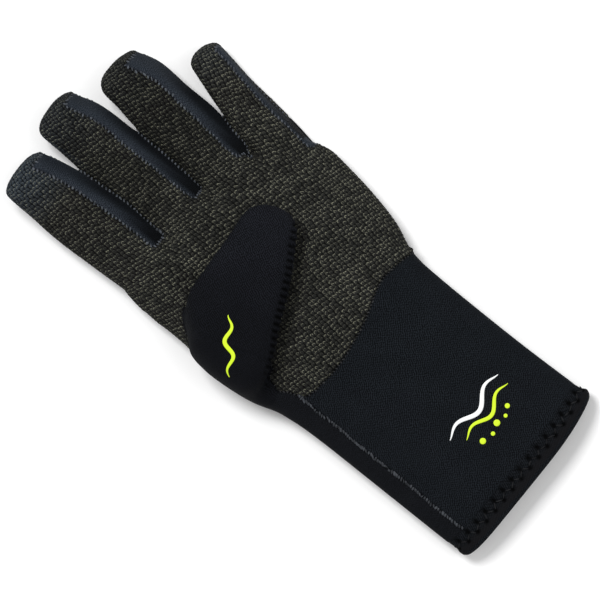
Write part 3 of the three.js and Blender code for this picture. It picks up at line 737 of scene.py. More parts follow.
def fabricCoords(where):
    at = np.interp(where[:, 1], [row["y"] for row in handRows], handPlaces)
    left, right, height = (handColumn(key, at) for key in ("left", "right", "height"))
    middle = (left + right) / 2
    u = wrapAcross(where[:, 0] - middle, where[:, 2], (right - left) / 2, height) + middle
    v = where[:, 1].copy()
    local = [fingerLocal(finger, where) for finger in fingers]
    near = nearestFinger(local)
    for k, finger in enumerate(fingers):
        own = local[k]
        share = np.where(near == k, ease(-0.25, 0.1, own["along"]), 0)
        across = wrapAcross(own["x"], own["z"], own["a"], own["b"]) + finger["rootX"]
        overTip = ease(0.9, 1.0, own["along"]) * np.clip(own["b"] - own["z"], 0, 2 * own["b"])
        length = own["along"] * finger["length"] + finger["rootY"] + overTip
        u, v = u * (1 - share) + across * share, v * (1 - share) + length * share
    over = np.isin(pointLabel, [panelId["thumb_top"], panelId["thumb_underside"]])
    away = where - foldCentre
    fold = np.clip(away @ heading, -60, 200)
    u = np.where(over, fold + np.where(fold < 0, where[:, 2] - thumbTop, 0), u)
    v = np.where(over, -(away @ thumbAcross), v)
    rows = (0.994 * u - 0.105 * v) / 0.984  # rows and columns of loops lean 6 and 16 degrees from the glove
    columns = (0.276 * u + 0.961 * v) / 0.984
    return np.stack([rows + waves(u, v, rowWaves), columns + waves(u, v, columnWaves)], 1)


fabric = fabricCoords(points)
normals = normalsOf(points, quads)

relief = {
    "bumpPitch": 2.2, "bumpHeight": 0.18, "rollPlace": 1.5, "rollWidth": 1.0, "wristStep": 0.9,
    "pitPitch": 3.55, "pitDepth": 1.0, "pitReach": 5.0, "ladderDip": 0.35, "ladderPlace": 2.0,
    "ladderWidth": 2.4, "unevenness": 0.25,
}
# For each kind of seam: how deep and wide its groove is, and how high the cloth swells beside it
seamForms = {
    "plain": {"deep": 0.3, "wide": 0.6, "swell": 0.0},
    "wrist": {"deep": 0.55, "wide": 0.6, "swell": 0.3},
    "slot": {"deep": 0.6, "wide": 0.6, "swell": 0.35},
    "ladder": {"deep": 0.4, "wide": 0.8, "swell": 0.1},
    "cuff": {"deep": 0.5, "wide": 0.8, "swell": 0.45},
    "thumb": {"deep": 0.45, "wide": 0.7, "swell": 0.1},
    "flush": {"deep": 0.0, "wide": 0.6, "swell": 0.0},
}


def knitBumps(coords):
    turn = 2 * math.pi / relief["bumpPitch"]
    return (0.5 + 0.5 * np.cos(turn * coords[:, 0])) * (0.5 + 0.5 * np.cos(turn * coords[:, 1]))


def seamRelief():
    form = {key: np.array([seamForms[name][key] for name in seamKinds])[kind]
            for key in ("deep", "wide", "swell")}
    push = -form["deep"] * bell(distance, form["wide"])
    swellSide = isKnit | (kind == seamKinds["cuff"])
    push += form["swell"] * bell(distance - relief["rollPlace"], relief["rollWidth"]) * swellSide
    knitSide = isKnit & (kind == seamKinds["wrist"])
    push += np.where(knitSide, relief["wristStep"] * (1 - ease(0, 5, distance)) * ease(0.1, 0.8, distance), 0)
    return push


# The thumb's long seam: short stitches across its edge pull the cloth into pits
def ladderPits():
    away = points - foldCentre
    forward, side = away @ heading, away @ thumbAcross
    places = [row["place"] * thumb["length"] for row in thumb["rows"]]
    half = curveThrough(places, [row["wide"] * thumb["width"] / 2 for row in thumb["rows"]], forward)
    shift = curveThrough(places, [row["side"] * thumb["width"] for row in thumb["rows"]], forward)
    inward = half + shift - side
    depth = ease(-0.6, 0.6, inward) * (1 - ease(2.4, relief["pitReach"], inward))
    run = (1 - ease(thumb["length"] - 3, thumb["length"] + 1, forward)) * ease(-16, 2, forward)
    wave = (0.5 + 0.5 * np.cos(2 * math.pi * forward / relief["pitPitch"])) ** 1.5
    above = points[:, 2] > palmHeight + 4
    pits = depth * run * wave * above * (pointLabel == panelId["thumb_top"])
    edge = bell(inward - relief["ladderPlace"], relief["ladderWidth"]) * run * above
    return pits, edge


# Slow rises and hollows of soft cloth that has been folded and packed
clothWaves = [[(1, 0.09, 0.05, 1.0), (1, -0.04, 0.06, 0.4)], [(0.6, 0.17, -0.08, 2.2), (1, 0.05, 0.13, 0)],
              [(0.35, 0.31, 0.12, 0), (1, -0.16, 0.27, 1.7)]]


def unevenCloth(where):
    x, y = where[:, 0], where[:, 1]
    crossed = sum(waves(x, y, [one]) * waves(x, y, [other]) for one, other in clothWaves)
    return crossed * ease(8, 14, where[:, 2])


# Painted shade: how much darker cloth is painted, from 0 to 1, in each kind of place
paintedShade = {"pit": 0.9, "groove": 0.5, "grooveWidth": 0.7, "thumbSide": 0.12, "slot": 0.9, "slotTip": 0.75,
            "thumbBase": 0.42}
# painted sheen: how strongly each fingertip is painted a cooler, lighter tone
fingerSheen = (1.0, 0.35, 0.15, 0.2)  # from the index finger to the little finger


# Painted shade at each point, from 0 to 1: in the pits, in the seam grooves, down in the slots between the
# fingers, on the knit beside the thumb, over the finger fronts and towards the thumb's base
def pointShade():
    shade = paintedShade["pit"] * pits
    shade += paintedShade["groove"] * bell(distance, paintedShade["grooveWidth"]) * (kind != seamKinds["flush"])
    # painted shade: the knit towards the thumb's side of the hand and the wrist is darker
    thumbSide = (1 - ease(-10, 45, points[:, 0])) * (1 - ease(40, 70, points[:, 1]))
    shade += paintedShade["thumbSide"] * isKnit * thumbSide
    for k, finger in enumerate(fingers):
        own = fingerLocal(finger, points)
        # painted shade: the finger sides darken down into the slot and towards the crotch, less near the tips
        onSide = np.isin(pointLabel, sidePanels) & (own["x"] > 0) & (own["x"] < own["a"] * 1.6)
        down = (glove["frontSeam"] - own["z"] / own["b"]) / (glove["frontSeam"] - glove["lowSeam"])
        paler = 1 - paintedShade["slotTip"] * ease(0.45, 0.9, own["along"])
        deep = paintedShade["slot"] * ease(0.1, 0.85, down) * paler
        root = (1 - ease(0.0, 0.5, own["along"])) * ease(-0.15, 0.3, down)
        shade = np.where(onSide & (own["along"] > -0.1), np.maximum(shade, np.maximum(deep, root)), shade)
        # painted shade: each finger's knit front is painted darker from near its root outwards, by a strength
        # set per finger
        front = isKnit & (np.abs(own["x"]) < own["a"] * 1.1)
        shade = np.where(front, shade + finger["duller"] * ease(0.0, 0.35, own["along"]), shade)
    # painted shade: the thumb's top is darker towards its base
    towardsTip = (points - foldCentre) @ heading
    thumbBase = paintedShade["thumbBase"] * (1 - ease(5, 60, towardsTip))
    shade = np.where(pointLabel == panelId["thumb_top"], shade + thumbBase, shade)
    return np.clip(shade, 0, 1)


# Painted sheen: fingertips are painted a slight cool, lighter tone, most on the index finger
def pointSheen():
    haze = np.zeros(len(points))
    for finger, strength in zip(fingers, fingerSheen):
        own = fingerLocal(finger, points)
        near = (np.abs(own["x"]) < own["a"] * 1.3) & (own["along"] > 0.3)
        haze = np.where(near, np.maximum(haze, strength * ease(0.6, 1.0, own["along"])), haze)
    return haze


pits, ladderBand = ladderPits()
push = seamRelief() - relief["pitDepth"] * pits - relief["ladderDip"] * ladderBand
push += np.where(isKnit, relief["bumpHeight"] * (knitBumps(fabric) - 0.3) * ease(0.3, 1.5, distance), 0)
push += relief["unevenness"] * unevenCloth(points)
shade, haze = pointShade(), pointSheen()
points = points + normals * push[:, None]
points[:, 2] = np.maximum(points[:, 2], skin["lowest"])
finalNormals = normalsOf(points, quads)
skinTree = BVHTree.FromPolygons(points.tolist(), quads.tolist())
print("relief: done")


# shader node groups, each built once and shared by several materials

def addNode(tree, kindName, sockets=None, **settings):
    node = tree.nodes.new("ShaderNode" + kindName)
    for key, value in settings.items():
        setattr(node, key, value)
    for key, value in (sockets or {}).items():
        if isinstance(value, bpy.types.NodeSocket):
            tree.links.new(value, node.inputs[key])
        else:
            node.inputs[key].default_value = value
    return node


def maths(tree, operation, *values, clamp=False):
    return addNode(tree, "Math", dict(enumerate(values)), operation=operation, use_clamp=clamp).outputs[0]


def vectorMaths(tree, operation, sockets, output=0):
    return addNode(tree, "VectorMath", sockets, operation=operation).outputs[output]


def stepBetween(tree, value, low, high):
    return addNode(tree, "MapRange", {0: value, 1: low, 2: high, 3: 0.0, 4: 1.0},
                   interpolation_type="SMOOTHSTEP").outputs[0]


def mixColour(tree, share, one, other, blend="MIX"):
    node = addNode(tree, "Mix", {0: share, 6: one, 7: other}, data_type="RGBA", blend_type=blend)
    return node.outputs[2]


def noise(tree, vector, scale, detail=2.0, rough=0.5):
    return addNode(tree, "TexNoise", {"Vector": vector, "Scale": scale, "Detail": detail, "Roughness": rough})


def newGroup(name, inputs, outputs):
    tree = bpy.data.node_groups.new(name, "ShaderNodeTree")
    for label, kindName, value in inputs:
        socket = tree.interface.new_socket(name=label, in_out="INPUT", socket_type="NodeSocket" + kindName)
        if value is not None:
            socket.default_value = value
    for label, kindName in outputs:
        tree.interface.new_socket(name=label, in_out="OUTPUT", socket_type="NodeSocket" + kindName)
    return tree, tree.nodes.new("NodeGroupInput").outputs, tree.nodes.new("NodeGroupOutput").inputs


# One loop of the knit, in shares of the pitch: pairs are where a smooth step starts and ends
loopForm = {"wander": 0.5, "stray": 0.22, "pillow": (0.12, 0.56), "curlRadius": 0.3, "curlWidth": 0.012,
            "lit": (-0.12, 0.12), "strandPlace": 0.3, "strandWidth": (0.02, 0.12), "crossing": (0.45, 0.6),
            "strength": (0.1, 0.75), "fibre": (0.44, 0.6), "gap": (0.36, 0.58)}


# Coarse grip knit: pillow-shaped loops in a grid, each with a pale curl of yarn, partly a painted highlight on
# the side towards the light, and painted shade in the gaps round it
def knitGroup():
    tree, given, result = newGroup(
        "knit loops", [("Fabric", "Vector", None), ("Pitch", "Float", 2.2)],
        [("Height", "Float"), ("Gleam", "Float"), ("Gap", "Float"), ("Tone", "Float")])
    millimetres = 10.0  # the fabric map is in centimetres
    fine = maths(tree, "DIVIDE", millimetres, given["Pitch"])
    cells = vectorMaths(tree, "SCALE", {0: given["Fabric"], "Scale": fine})
    wander = noise(tree, cells, 0.9, 1.0).outputs["Color"]
    shift = vectorMaths(tree, "SUBTRACT", {0: wander, 1: (0.5, 0.5, 0.5)})
    shift = vectorMaths(tree, "SCALE", {0: shift, "Scale": loopForm["wander"]})
    cells = vectorMaths(tree, "ADD", {0: cells, 1: shift})
    cells = vectorMaths(tree, "MULTIPLY", {0: cells, 1: (1, 1, 0)})
    centre = vectorMaths(tree, "FLOOR", {0: vectorMaths(tree, "ADD", {0: cells, 1: (0.5, 0.5, 0)})})
    perLoop = addNode(tree, "TexWhiteNoise", {"Vector": centre}, noise_dimensions="3D").outputs
    stray = vectorMaths(tree, "SUBTRACT", {0: perLoop["Color"], 1: (0.5, 0.5, 0.5)})
    stray = vectorMaths(tree, "MULTIPLY", {0: stray, 1: (loopForm["stray"], loopForm["stray"], 0)})
    away = vectorMaths(tree, "SUBTRACT", {0: cells, 1: vectorMaths(tree, "ADD", {0: centre, 1: stray})})
    radius = vectorMaths(tree, "LENGTH", {0: away}, 1)
    height = maths(tree, "SUBTRACT", 1.0, stepBetween(tree, radius, *loopForm["pillow"]))
    toLight = vectorMaths(tree, "DOT_PRODUCT", {0: away, 1: (-0.35, 0.94, 0)}, 1)
    turned = vectorMaths(tree, "DOT_PRODUCT", {0: away, 1: (0.94, 0.35, 0)}, 1)
    curl = maths(tree, "SUBTRACT", radius, loopForm["curlRadius"])
    curl = maths(tree, "MULTIPLY", curl, curl)
    curl = maths(tree, "SUBTRACT", 1.0, stepBetween(tree, curl, 0.0, loopForm["curlWidth"]))
    # painted highlight: the curl shows only on the side of each loop towards the light; the strands added next
    # are the yarn's own pale fibre
    sided = stepBetween(tree, toLight, *loopForm["lit"])
    gleam = maths(tree, "MULTIPLY", curl, sided)
    strand = maths(tree, "ABSOLUTE", maths(tree, "ADD", turned, loopForm["strandPlace"]))
    strand = maths(tree, "SUBTRACT", 1.0, stepBetween(tree, strand, *loopForm["strandWidth"]))
    crossing = noise(tree, cells, 2.3, 1.0).outputs["Fac"]
    strand = maths(tree, "MULTIPLY", strand, stepBetween(tree, crossing, *loopForm["crossing"]))
    gleam = maths(tree, "MAXIMUM", gleam, maths(tree, "MULTIPLY", strand, 0.7))
    strength = stepBetween(tree, perLoop["Value"], *loopForm["strength"])
    gleam = maths(tree, "MULTIPLY", gleam, maths(tree, "ADD", 0.25, strength))
    fibres = noise(tree, cells, 5.5, 3.0, 0.8).outputs["Fac"]
    broken = stepBetween(tree, fibres, *loopForm["fibre"])
    gleam = maths(tree, "MULTIPLY", gleam, broken, clamp=True)
    # painted shade in the gaps round each loop, heavier on the side away from the light
    off = vectorMaths(tree, "DISTANCE", {0: away, 1: (-0.05, 0.07, 0)}, 1)
    gap = maths(tree, "MULTIPLY", stepBetween(tree, off, *loopForm["gap"]),
                maths(tree, "ADD", 0.7, maths(tree, "MULTIPLY", turned, 0.6)), clamp=True)
    tree.links.new(maths(tree, "ADD", height, maths(tree, "MULTIPLY", fibres, 0.9)), result["Height"])
    tree.links.new(gleam, result["Gleam"])
    tree.links.new(gap, result["Gap"])
    tree.links.new(maths(tree, "ADD", maths(tree, "MULTIPLY", perLoop["Value"], 0.5),
                         maths(tree, "MULTIPLY", fibres, 0.5)), result["Tone"])
    return tree


jerseyForm = {"slant": 32, "bend": 0.05, "ribHeight": 0.14, "loopHeight": 0.06, "loopShare": 0.7,
              "tone": (0.37, 0.68)}


# Smooth stretch cloth: fine slanted ribs broken by the nap
def jerseyGroup():
    tree, given, result = newGroup(
        "jersey ribs", [("Fabric", "Vector", None), ("Ribs per cm", "Float", 12.0)],
        [("Height", "Float"), ("Tone", "Float")])
    slant = math.radians(jerseyForm["slant"])
    slanted = addNode(tree, "VectorRotate", {"Vector": given["Fabric"], "Angle": slant},
                      rotation_type="Z_AXIS").outputs[0]
    soft = noise(tree, given["Fabric"], 9.0, 2.0).outputs["Color"]
    bend = vectorMaths(tree, "SCALE", {0: soft, "Scale": jerseyForm["bend"]})
    bent = vectorMaths(tree, "ADD", {0: slanted, 1: bend})
    across = addNode(tree, "SeparateXYZ", {0: bent}).outputs
    turn = maths(tree, "MULTIPLY", given["Ribs per cm"], 2 * math.pi)
    ribs = maths(tree, "SINE", maths(tree, "MULTIPLY", across[0], turn))
    loopTurn = maths(tree, "MULTIPLY", turn, jerseyForm["loopShare"])
    loops = maths(tree, "SINE", maths(tree, "MULTIPLY", across[1], loopTurn))
    grain = noise(tree, given["Fabric"], 13.0, 2.0, 0.75).outputs["Fac"]
    height = maths(tree, "ADD", maths(tree, "MULTIPLY", ribs, jerseyForm["ribHeight"]),
                   maths(tree, "MULTIPLY", loops, jerseyForm["loopHeight"]))
    height = maths(tree, "ADD", height, grain)
    tree.links.new(height, result["Height"])
    tree.links.new(stepBetween(tree, height, *jerseyForm["tone"]), result["Tone"])
    return tree


wearForm = {"speckSize": (0.02, 0.09), "few": (0.72, 0.8), "fade": (0.3, 0.72)}


# Use and storage: cloudy fading, and stray specks of lint
def wearGroup():
    tree, given, result = newGroup(
        "wear and lint", [("Fabric", "Vector", None), ("Lint", "Float", 0.3)],
        [("Fade", "Float"), ("Specks", "Float")])
    cloudy = noise(tree, given["Fabric"], 0.55, 4.0, 0.6).outputs["Fac"]
    cells = addNode(tree, "TexVoronoi", {"Vector": given["Fabric"], "Scale": 4.5}, feature="F1")
    dots = maths(tree, "SUBTRACT", 1.0, stepBetween(tree, cells.outputs["Distance"], *wearForm["speckSize"]))
    perCell = addNode(tree, "SeparateColor", {0: cells.outputs["Color"]}).outputs[0]
    specks = maths(tree, "MULTIPLY", dots, stepBetween(tree, perCell, *wearForm["few"]))
    tree.links.new(stepBetween(tree, cloudy, *wearForm["fade"]), result["Fade"])
    tree.links.new(maths(tree, "MULTIPLY", specks, given["Lint"]), result["Specks"])
    return tree


sharedGroups = {"knit": knitGroup(), "jersey": jerseyGroup(), "wear": wearGroup()}


# materials

def newMaterial(name):
    material = bpy.data.materials.new(name)
    material.use_nodes = True
    tree = material.node_tree
    tree.nodes.clear()
    shader = tree.nodes.new("ShaderNodeBsdfPrincipled")
    tree.links.new(shader.outputs["BSDF"], tree.nodes.new("ShaderNodeOutputMaterial").inputs["Surface"])
    return material, tree, shader


def useGroup(tree, key, fabricMap, **values):
    node = tree.nodes.new("ShaderNodeGroup")
    node.node_tree = sharedGroups[key]
    tree.links.new(fabricMap, node.inputs["Fabric"])
    for label, value in values.items():
        node.inputs[label.replace("_", " ")].default_value = value
    return node.outputs


def attribute(tree, name):
    return addNode(tree, "Attribute", attribute_name=name).outputs["Fac"]


def setFinish(shader, roughness=None, specular=0.15, sheen=0.0, sheenTint=(1, 1, 1)):
    shader.inputs["Specular IOR Level"].default_value = specular
    shader.inputs["Sheen Weight"].default_value = sheen
    shader.inputs["Sheen Roughness"].default_value = 0.5
    shader.inputs["Sheen Tint"].default_value = (*sheenTint, 1)
    if roughness is not None:
        shader.inputs["Roughness"].default_value = roughness


# A value from 0 to 1, stretched to start at the given least value and span the given range
def between(tree, value, least, span):
    return maths(tree, "ADD", least, maths(tree, "MULTIPLY", value, span))


def addBump(tree, shader, height, strength, depth):
    bump = addNode(tree, "Bump", {"Height": height, "Strength": strength, "Distance": depth})
    tree.links.new(bump.outputs[0], shader.inputs["Normal"])


# Painted shade: darkens a colour by the point's shade value, times the given strength
def shadeColour(tree, colour, strength):
    dark = maths(tree, "SUBTRACT", 1.0, maths(tree, "MULTIPLY", attribute(tree, "shade"), strength))
    return vectorMaths(tree, "SCALE", {0: colour, "Scale": dark})


# Colours are linear. lively and fade: the least brightness, and how much is added. depth: in metres
knitLook = {"ground": (0.0182, 0.0186, 0.0178, 1), "gap": (0.0015, 0.0015, 0.0013, 1),
            "gleam": (0.25, 0.25, 0.18, 1), "haze": (0.036, 0.047, 0.060, 1), "lively": (0.72, 0.5),
            "fade": (0.82, 0.32), "lint": 0.15, "shaded": 0.8, "roughness": (0.95, -0.3), "bump": 0.8,
            "depth": 0.00034}


def knitMaterial():
    material, tree, shader = newMaterial("grip_knit")
    fabricMap = addNode(tree, "UVMap", uv_map="fabric").outputs[0]
    loops = useGroup(tree, "knit", fabricMap, Pitch=relief["bumpPitch"])
    wear = useGroup(tree, "wear", fabricMap, Lint=knitLook["lint"])
    # painted sheen: a cooler, lighter tone towards the fingertips
    ground = mixColour(tree, attribute(tree, "haze"), knitLook["ground"], knitLook["haze"])
    lively = between(tree, loops["Tone"], *knitLook["lively"])
    ground = vectorMaths(tree, "SCALE", {0: ground, "Scale": lively})
    # pale yarn curls and strands; the curls are partly a painted highlight on the side towards the light
    colour = mixColour(tree, loops["Gleam"], ground, knitLook["gleam"])
    # painted shade in the gaps between the loops
    colour = mixColour(tree, loops["Gap"], colour, knitLook["gap"])
    fade = between(tree, wear["Fade"], *knitLook["fade"])
    colour = vectorMaths(tree, "SCALE", {0: colour, "Scale": fade})
    colour = shadeColour(tree, colour, knitLook["shaded"])
    tree.links.new(colour, shader.inputs["Base Color"])
    tree.links.new(between(tree, loops["Gleam"], *knitLook["roughness"]), shader.inputs["Roughness"])
    addBump(tree, shader, loops["Height"], knitLook["bump"], knitLook["depth"])
    setFinish(shader, specular=0.07)
    return material


# base and faded: the cloth's two tones. ribs: per centimetre
jerseyColumns = "base faded ribs sheen"
jerseyTable = {
    "smooth": ((0.0018, 0.0020, 0.0028, 1), (0.0140, 0.0154, 0.0204, 1), 11.0, 0.003),
    "side": ((0.0070, 0.0092, 0.0130, 1), (0.0400, 0.0490, 0.0620, 1), 11.0, 0.01),
    "cuff": ((0.0016, 0.0021, 0.0029, 1), (0.0132, 0.0162, 0.0204, 1), 11.0, 0.003),
    "strip": ((0.0016, 0.0018, 0.0024, 1), (0.0110, 0.0122, 0.0154, 1), 11.0, 0.003),
    "hem": ((0.0016, 0.0021, 0.0029, 1), (0.0128, 0.0150, 0.0184, 1), 11.0, 0.003),
    "lining": ((0.0030, 0.0032, 0.0038, 1), (0.0090, 0.0095, 0.0110, 1), 8.0, 0.0),
}
jerseyLooks = {name: tableRows(jerseyColumns, [row])[0] for name, row in jerseyTable.items()}
jerseyFinish = {"toneShare": 0.95, "fadeShare": 0.14, "start": 0.1, "lint": 0.5, "warmth": 0.6,
                "shaded": 0.92, "roughness": (0.78, 0.15), "bump": 0.8, "depth": 0.0004, "specular": 0.05}
warmTone = (0.0068, 0.0062, 0.0068, 1)
lintTone = (0.04, 0.044, 0.052, 1)


def jerseyMaterial(name):
    look = jerseyLooks[name]
    material, tree, shader = newMaterial(name + "_jersey")
    fabricMap = addNode(tree, "UVMap", uv_map="fabric").outputs[0]
    ribs = useGroup(tree, "jersey", fabricMap, Ribs_per_cm=look["ribs"])
    finish = jerseyFinish
    wear = useGroup(tree, "wear", fabricMap, Lint=finish["lint"])
    share = maths(tree, "ADD", maths(tree, "MULTIPLY", ribs["Tone"], finish["toneShare"]),
                  maths(tree, "MULTIPLY", wear["Fade"], finish["fadeShare"]))
    share = maths(tree, "SUBTRACT", share, finish["start"], clamp=True)
    colour = mixColour(tree, share, look["base"], look["faded"])
    warm = maths(tree, "MULTIPLY", attribute(tree, "haze"), finish["warmth"])
    colour = mixColour(tree, warm, colour, warmTone)
    colour = mixColour(tree, wear["Specks"], colour, lintTone)
    colour = shadeColour(tree, colour, finish["shaded"])
    tree.links.new(colour, shader.inputs["Base Color"])
    tree.links.new(between(tree, ribs["Tone"], *finish["roughness"]), shader.inputs["Roughness"])
    addBump(tree, shader, ribs["Height"], finish["bump"], finish["depth"])
    setFinish(shader, specular=finish["specular"], sheen=look["sheen"], sheenTint=(0.8, 0.9, 1.0))
    return material


# Twisted sewing thread. The bands run slanted across each stitch
def threadMaterial(name, dark, pale):
    material, tree, shader = newMaterial(name)
    place = addNode(tree, "TexCoord").outputs["Object"]
    strands = addNode(tree, "TexWave", {"Vector": place, "Scale": 900.0, "Distortion": 1.5},
                      bands_direction="DIAGONAL")
    patchy = noise(tree, place, 400.0).outputs["Fac"]
    share = maths(tree, "MULTIPLY", strands.outputs["Fac"], stepBetween(tree, patchy, 0.25, 0.7))
    tree.links.new(mixColour(tree, share, dark, pale), shader.inputs["Base Color"])
    addBump(tree, shader, strands.outputs["Fac"], 0.4, 0.0001)
    setFinish(shader, roughness=0.75, specular=0.25)
    return material


# Rubbery print on the cloth, a little cracked and rubbed
def printMaterial(name, colour, worn):
    material, tree, shader = newMaterial(name)
    place = addNode(tree, "TexCoord").outputs["Object"]
    rubbed = stepBetween(tree, noise(tree, place, 700.0, 4.0, 0.7).outputs["Fac"], 0.6, 0.78)
    share = maths(tree, "MULTIPLY", rubbed, 0.5)
    tree.links.new(mixColour(tree, share, colour, worn), shader.inputs["Base Color"])
    weave = noise(tree, place, 1500.0, 2.0).outputs["Fac"]
    tree.links.new(between(tree, weave, 0.45, 0.2), shader.inputs["Roughness"])
    addBump(tree, shader, weave, 0.3, 0.0001)
    setFinish(shader, specular=0.3)
    return material


def floorMaterial():
    material, tree, shader = newMaterial("pale_floor")
    place = addNode(tree, "TexCoord").outputs["Object"]
    soft = noise(tree, place, 2.0, 2.0).outputs["Fac"]
    colour = mixColour(tree, soft, (0.93, 0.93, 0.93, 1), (0.95, 0.95, 0.95, 1))
    tree.links.new(colour, shader.inputs["Base Color"])
    setFinish(shader, roughness=0.9, specular=0.1)
    return material


looks = {name: jerseyMaterial(name) for name in jerseyLooks}
looks["knit"] = knitMaterial()
threadTones = {
    "pale_thread": ((0.012, 0.014, 0.017, 1), (0.085, 0.094, 0.108, 1)),
    "dark_thread": ((0.003, 0.003, 0.004, 1), (0.014, 0.015, 0.017, 1)),
    "edge_thread": ((0.018, 0.021, 0.026, 1), (0.125, 0.14, 0.16, 1)),
    "grey_thread": ((0.006, 0.006, 0.007, 1), (0.05, 0.052, 0.055, 1)),
}
for name, tones in threadTones.items():
    looks[name] = threadMaterial(name, *tones)
looks["lime_print"] = printMaterial("lime_print", (0.62, 0.83, 0.02, 1), (0.25, 0.35, 0.02, 1))
looks["white_print"] = printMaterial("white_print", (0.85, 0.87, 0.87, 1), (0.45, 0.47, 0.47, 1))
print("materials: done")


# making the pieces

def solidPiece(name, points, faces, look, slotName, nodes=(), uv=None, values=None):
    mesh = bpy.data.meshes.new(name)
    mesh.from_pydata(((points - planMiddle) * toMetres).tolist(), [], faces)
    mesh.polygons.foreach_set("use_smooth", np.ones(len(mesh.polygons), bool))
    if uv is not None:
        layer = mesh.uv_layers.new(name="fabric")
        corner = np.empty(len(mesh.loops), int)
        mesh.loops.foreach_get("vertex_index", corner)
        layer.data.foreach_set("uv", (uv[corner] * toCentimetres).ravel())
    for label, numbers in (values or {}).items():
        mesh.attributes.new(label, "FLOAT", "POINT").data.foreach_set("value", numbers)
    mesh.materials.append(look)
    thing = placeInScene(name, mesh)
    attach(thing, "root")
    if nodes:
        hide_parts(*nodes)


panels = {
    "knit_palm": ("knit", "knit", ["palm_panel"]),
    "back_of_hand": ("smooth", "smooth_neoprene", ["hand_back"]),
    "thumb_top": ("smooth", "smooth_neoprene", ["thumb_back"]),
    "thumb_underside": ("knit", "knit", ["thumb_front"]),
    "cuff_cloth": ("cuff", "cuff_neoprene", ["cuff_panel"]),
    "cuff_strip": ("strip", "cuff_neoprene", ["cuff_side_strip"]),
    "index_back_cloth": ("knit", "knit", ["index_back"]),
    "middle_back_cloth": ("knit", "knit", ["middle_back"]),
    "ring_back_cloth": ("knit", "knit", ["ring_back"]),
    "little_back_cloth": ("knit", "knit", ["little_back"]),
    "index_middle_side": ("side", "side_neoprene", ["gusset_index_middle"]),
    "middle_ring_side": ("side", "side_neoprene", ["gusset_middle_ring"]),
    "ring_little_side": ("side", "side_neoprene", ["gusset_ring_little"]),
    "index_outer_side": ("side", "side_neoprene", ["index_side_strip"]),
    "little_outer_side": ("side", "side_neoprene", ["little_side_strip"]),
}
for name, (look, slotName, nodes) in panels.items():
    own = quads[label == panelId[name]]
    used, index = np.unique(own, return_inverse=True)
    solidPiece(name, points[used], index.reshape(-1, 4).tolist(), looks[look], slotName, nodes, fabric[used],
               {"shade": shade[used], "haze": haze[used] * (look == "knit")})


# hem: the mouth's edge, folded inwards and held by a zigzag of stitches

hem = {"swell": 0.6, "wall": 4.6, "around": 700, "inside": 11.0, "cornerBulge": 1.3, "outerSteps": 40,
       "foldSteps": 14, "innerSteps": 16, "zigzagPlace": 9.4, "zigzagReach": 1.7, "zigzagPitch": 3.4,
       "pitDepth": 1.0, "pitWidth": 1.3, "bandDepth": 0.25, "bandWidth": 3.2, "warmth": (5.5, 10.5)}


# The hem's section: outer face, fold and inner face, as how far up from the mouth and how far in
def hemProfile():
    length, wall, swell = glove["hemLength"], hem["wall"], hem["swell"]
    outer = [(length + 0.3, 0.35), (length, 0.1)]
    outer += [(length - down, 0.05 - (swell + 0.05) * float(ease(3, 8, down)))
              for down in np.linspace(0.25, length - 2.7, hem["outerSteps"])]
    centre, radius = (wall + swell) / 2 - swell, (wall + swell) / 2
    fold = [(radius - radius * math.sin(angle), centre - radius * math.cos(angle))
            for angle in np.linspace(0, math.pi, hem["foldSteps"])]
    inner = [(up, wall) for up in np.linspace(radius + 0.5, hem["inside"], hem["innerSteps"])]
    return outer + fold + inner, len(outer)


def hemRing(up, inset):
    span = handRows[1]["y"] - handRows[0]["y"]
    share = min(max(up / span, 0), 1)
    ring = handRings(np.array([share]), hem["around"], inset)[0]
    ring[:, 1] += up - share * span
    side = np.clip((ring[:, 0] - cuffMiddle) / (glove["cuffWidth"] / 2), 0, 1)
    ring[:, 0] += hem["cornerBulge"] * side ** 6 * float(bell(up - 6.5, 4.5))
    return ring


def gridFaces(rows, count):
    at = np.arange(count)
    after = (at + 1) % count
    return [(r * count + a, (r + 1) * count + a, (r + 1) * count + b, r * count + b)
            for r in range(rows - 1) for a, b in zip(at, after)]


# Distance round a closed ring at each of its points and at its end, and the pitch that fits the zigzag evenly
def runAndPitch(ring):
    run = np.concatenate([[0], np.cumsum(np.linalg.norm(np.roll(ring, -1, 0) - ring, axis=1))])
    return run, run[-1] / round(run[-1] / hem["zigzagPitch"] / 2) / 2


def hemPiece():
    profile, outerRows = hemProfile()
    rings = np.array([hemRing(up, inset) for up, inset in profile])
    rows, count = rings.shape[:2]
    run, pitch = runAndPitch(hemRing(hem["zigzagPlace"], 0))
    flat = pressOnFloor(rings.reshape(-1, 3))
    faces = gridFaces(rows, count)
    normals = normalsOf(flat, np.array(faces))
    outwards = (flat - [cuffMiddle, 0, cuffHeight / 2]) * [1, 0, 1]
    normals *= np.sign(np.sum(normals * outwards, 1).mean())
    sideways = np.tile(run[:-1], rows)
    along = np.repeat([up for up, inset in profile], count)
    outer = np.repeat(np.arange(rows) < outerRows, count)
    number = np.round(sideways / pitch)
    level = hem["zigzagPlace"] + np.where(number % 2 == 0, 1, -1) * hem["zigzagReach"]
    away = np.hypot((sideways - number * pitch) * 1.1, along - level)
    pit = bell(away, hem["pitWidth"]) * outer
    band = bell(along - hem["zigzagPlace"], hem["bandWidth"]) * outer
    flat = flat - normals * (hem["pitDepth"] * pit + hem["bandDepth"] * band)[:, None]
    flat[:, 2] = np.maximum(flat[:, 2], skin["lowest"])
    warmth = (1 - ease(*hem["warmth"], along)) * outer
    # painted shade: the stitch pits and the band along the zigzag are darkened in the shade values
    return flat, faces, np.stack([sideways, along], 1), np.clip(1.05 * pit + 0.2 * band, 0, 1), warmth


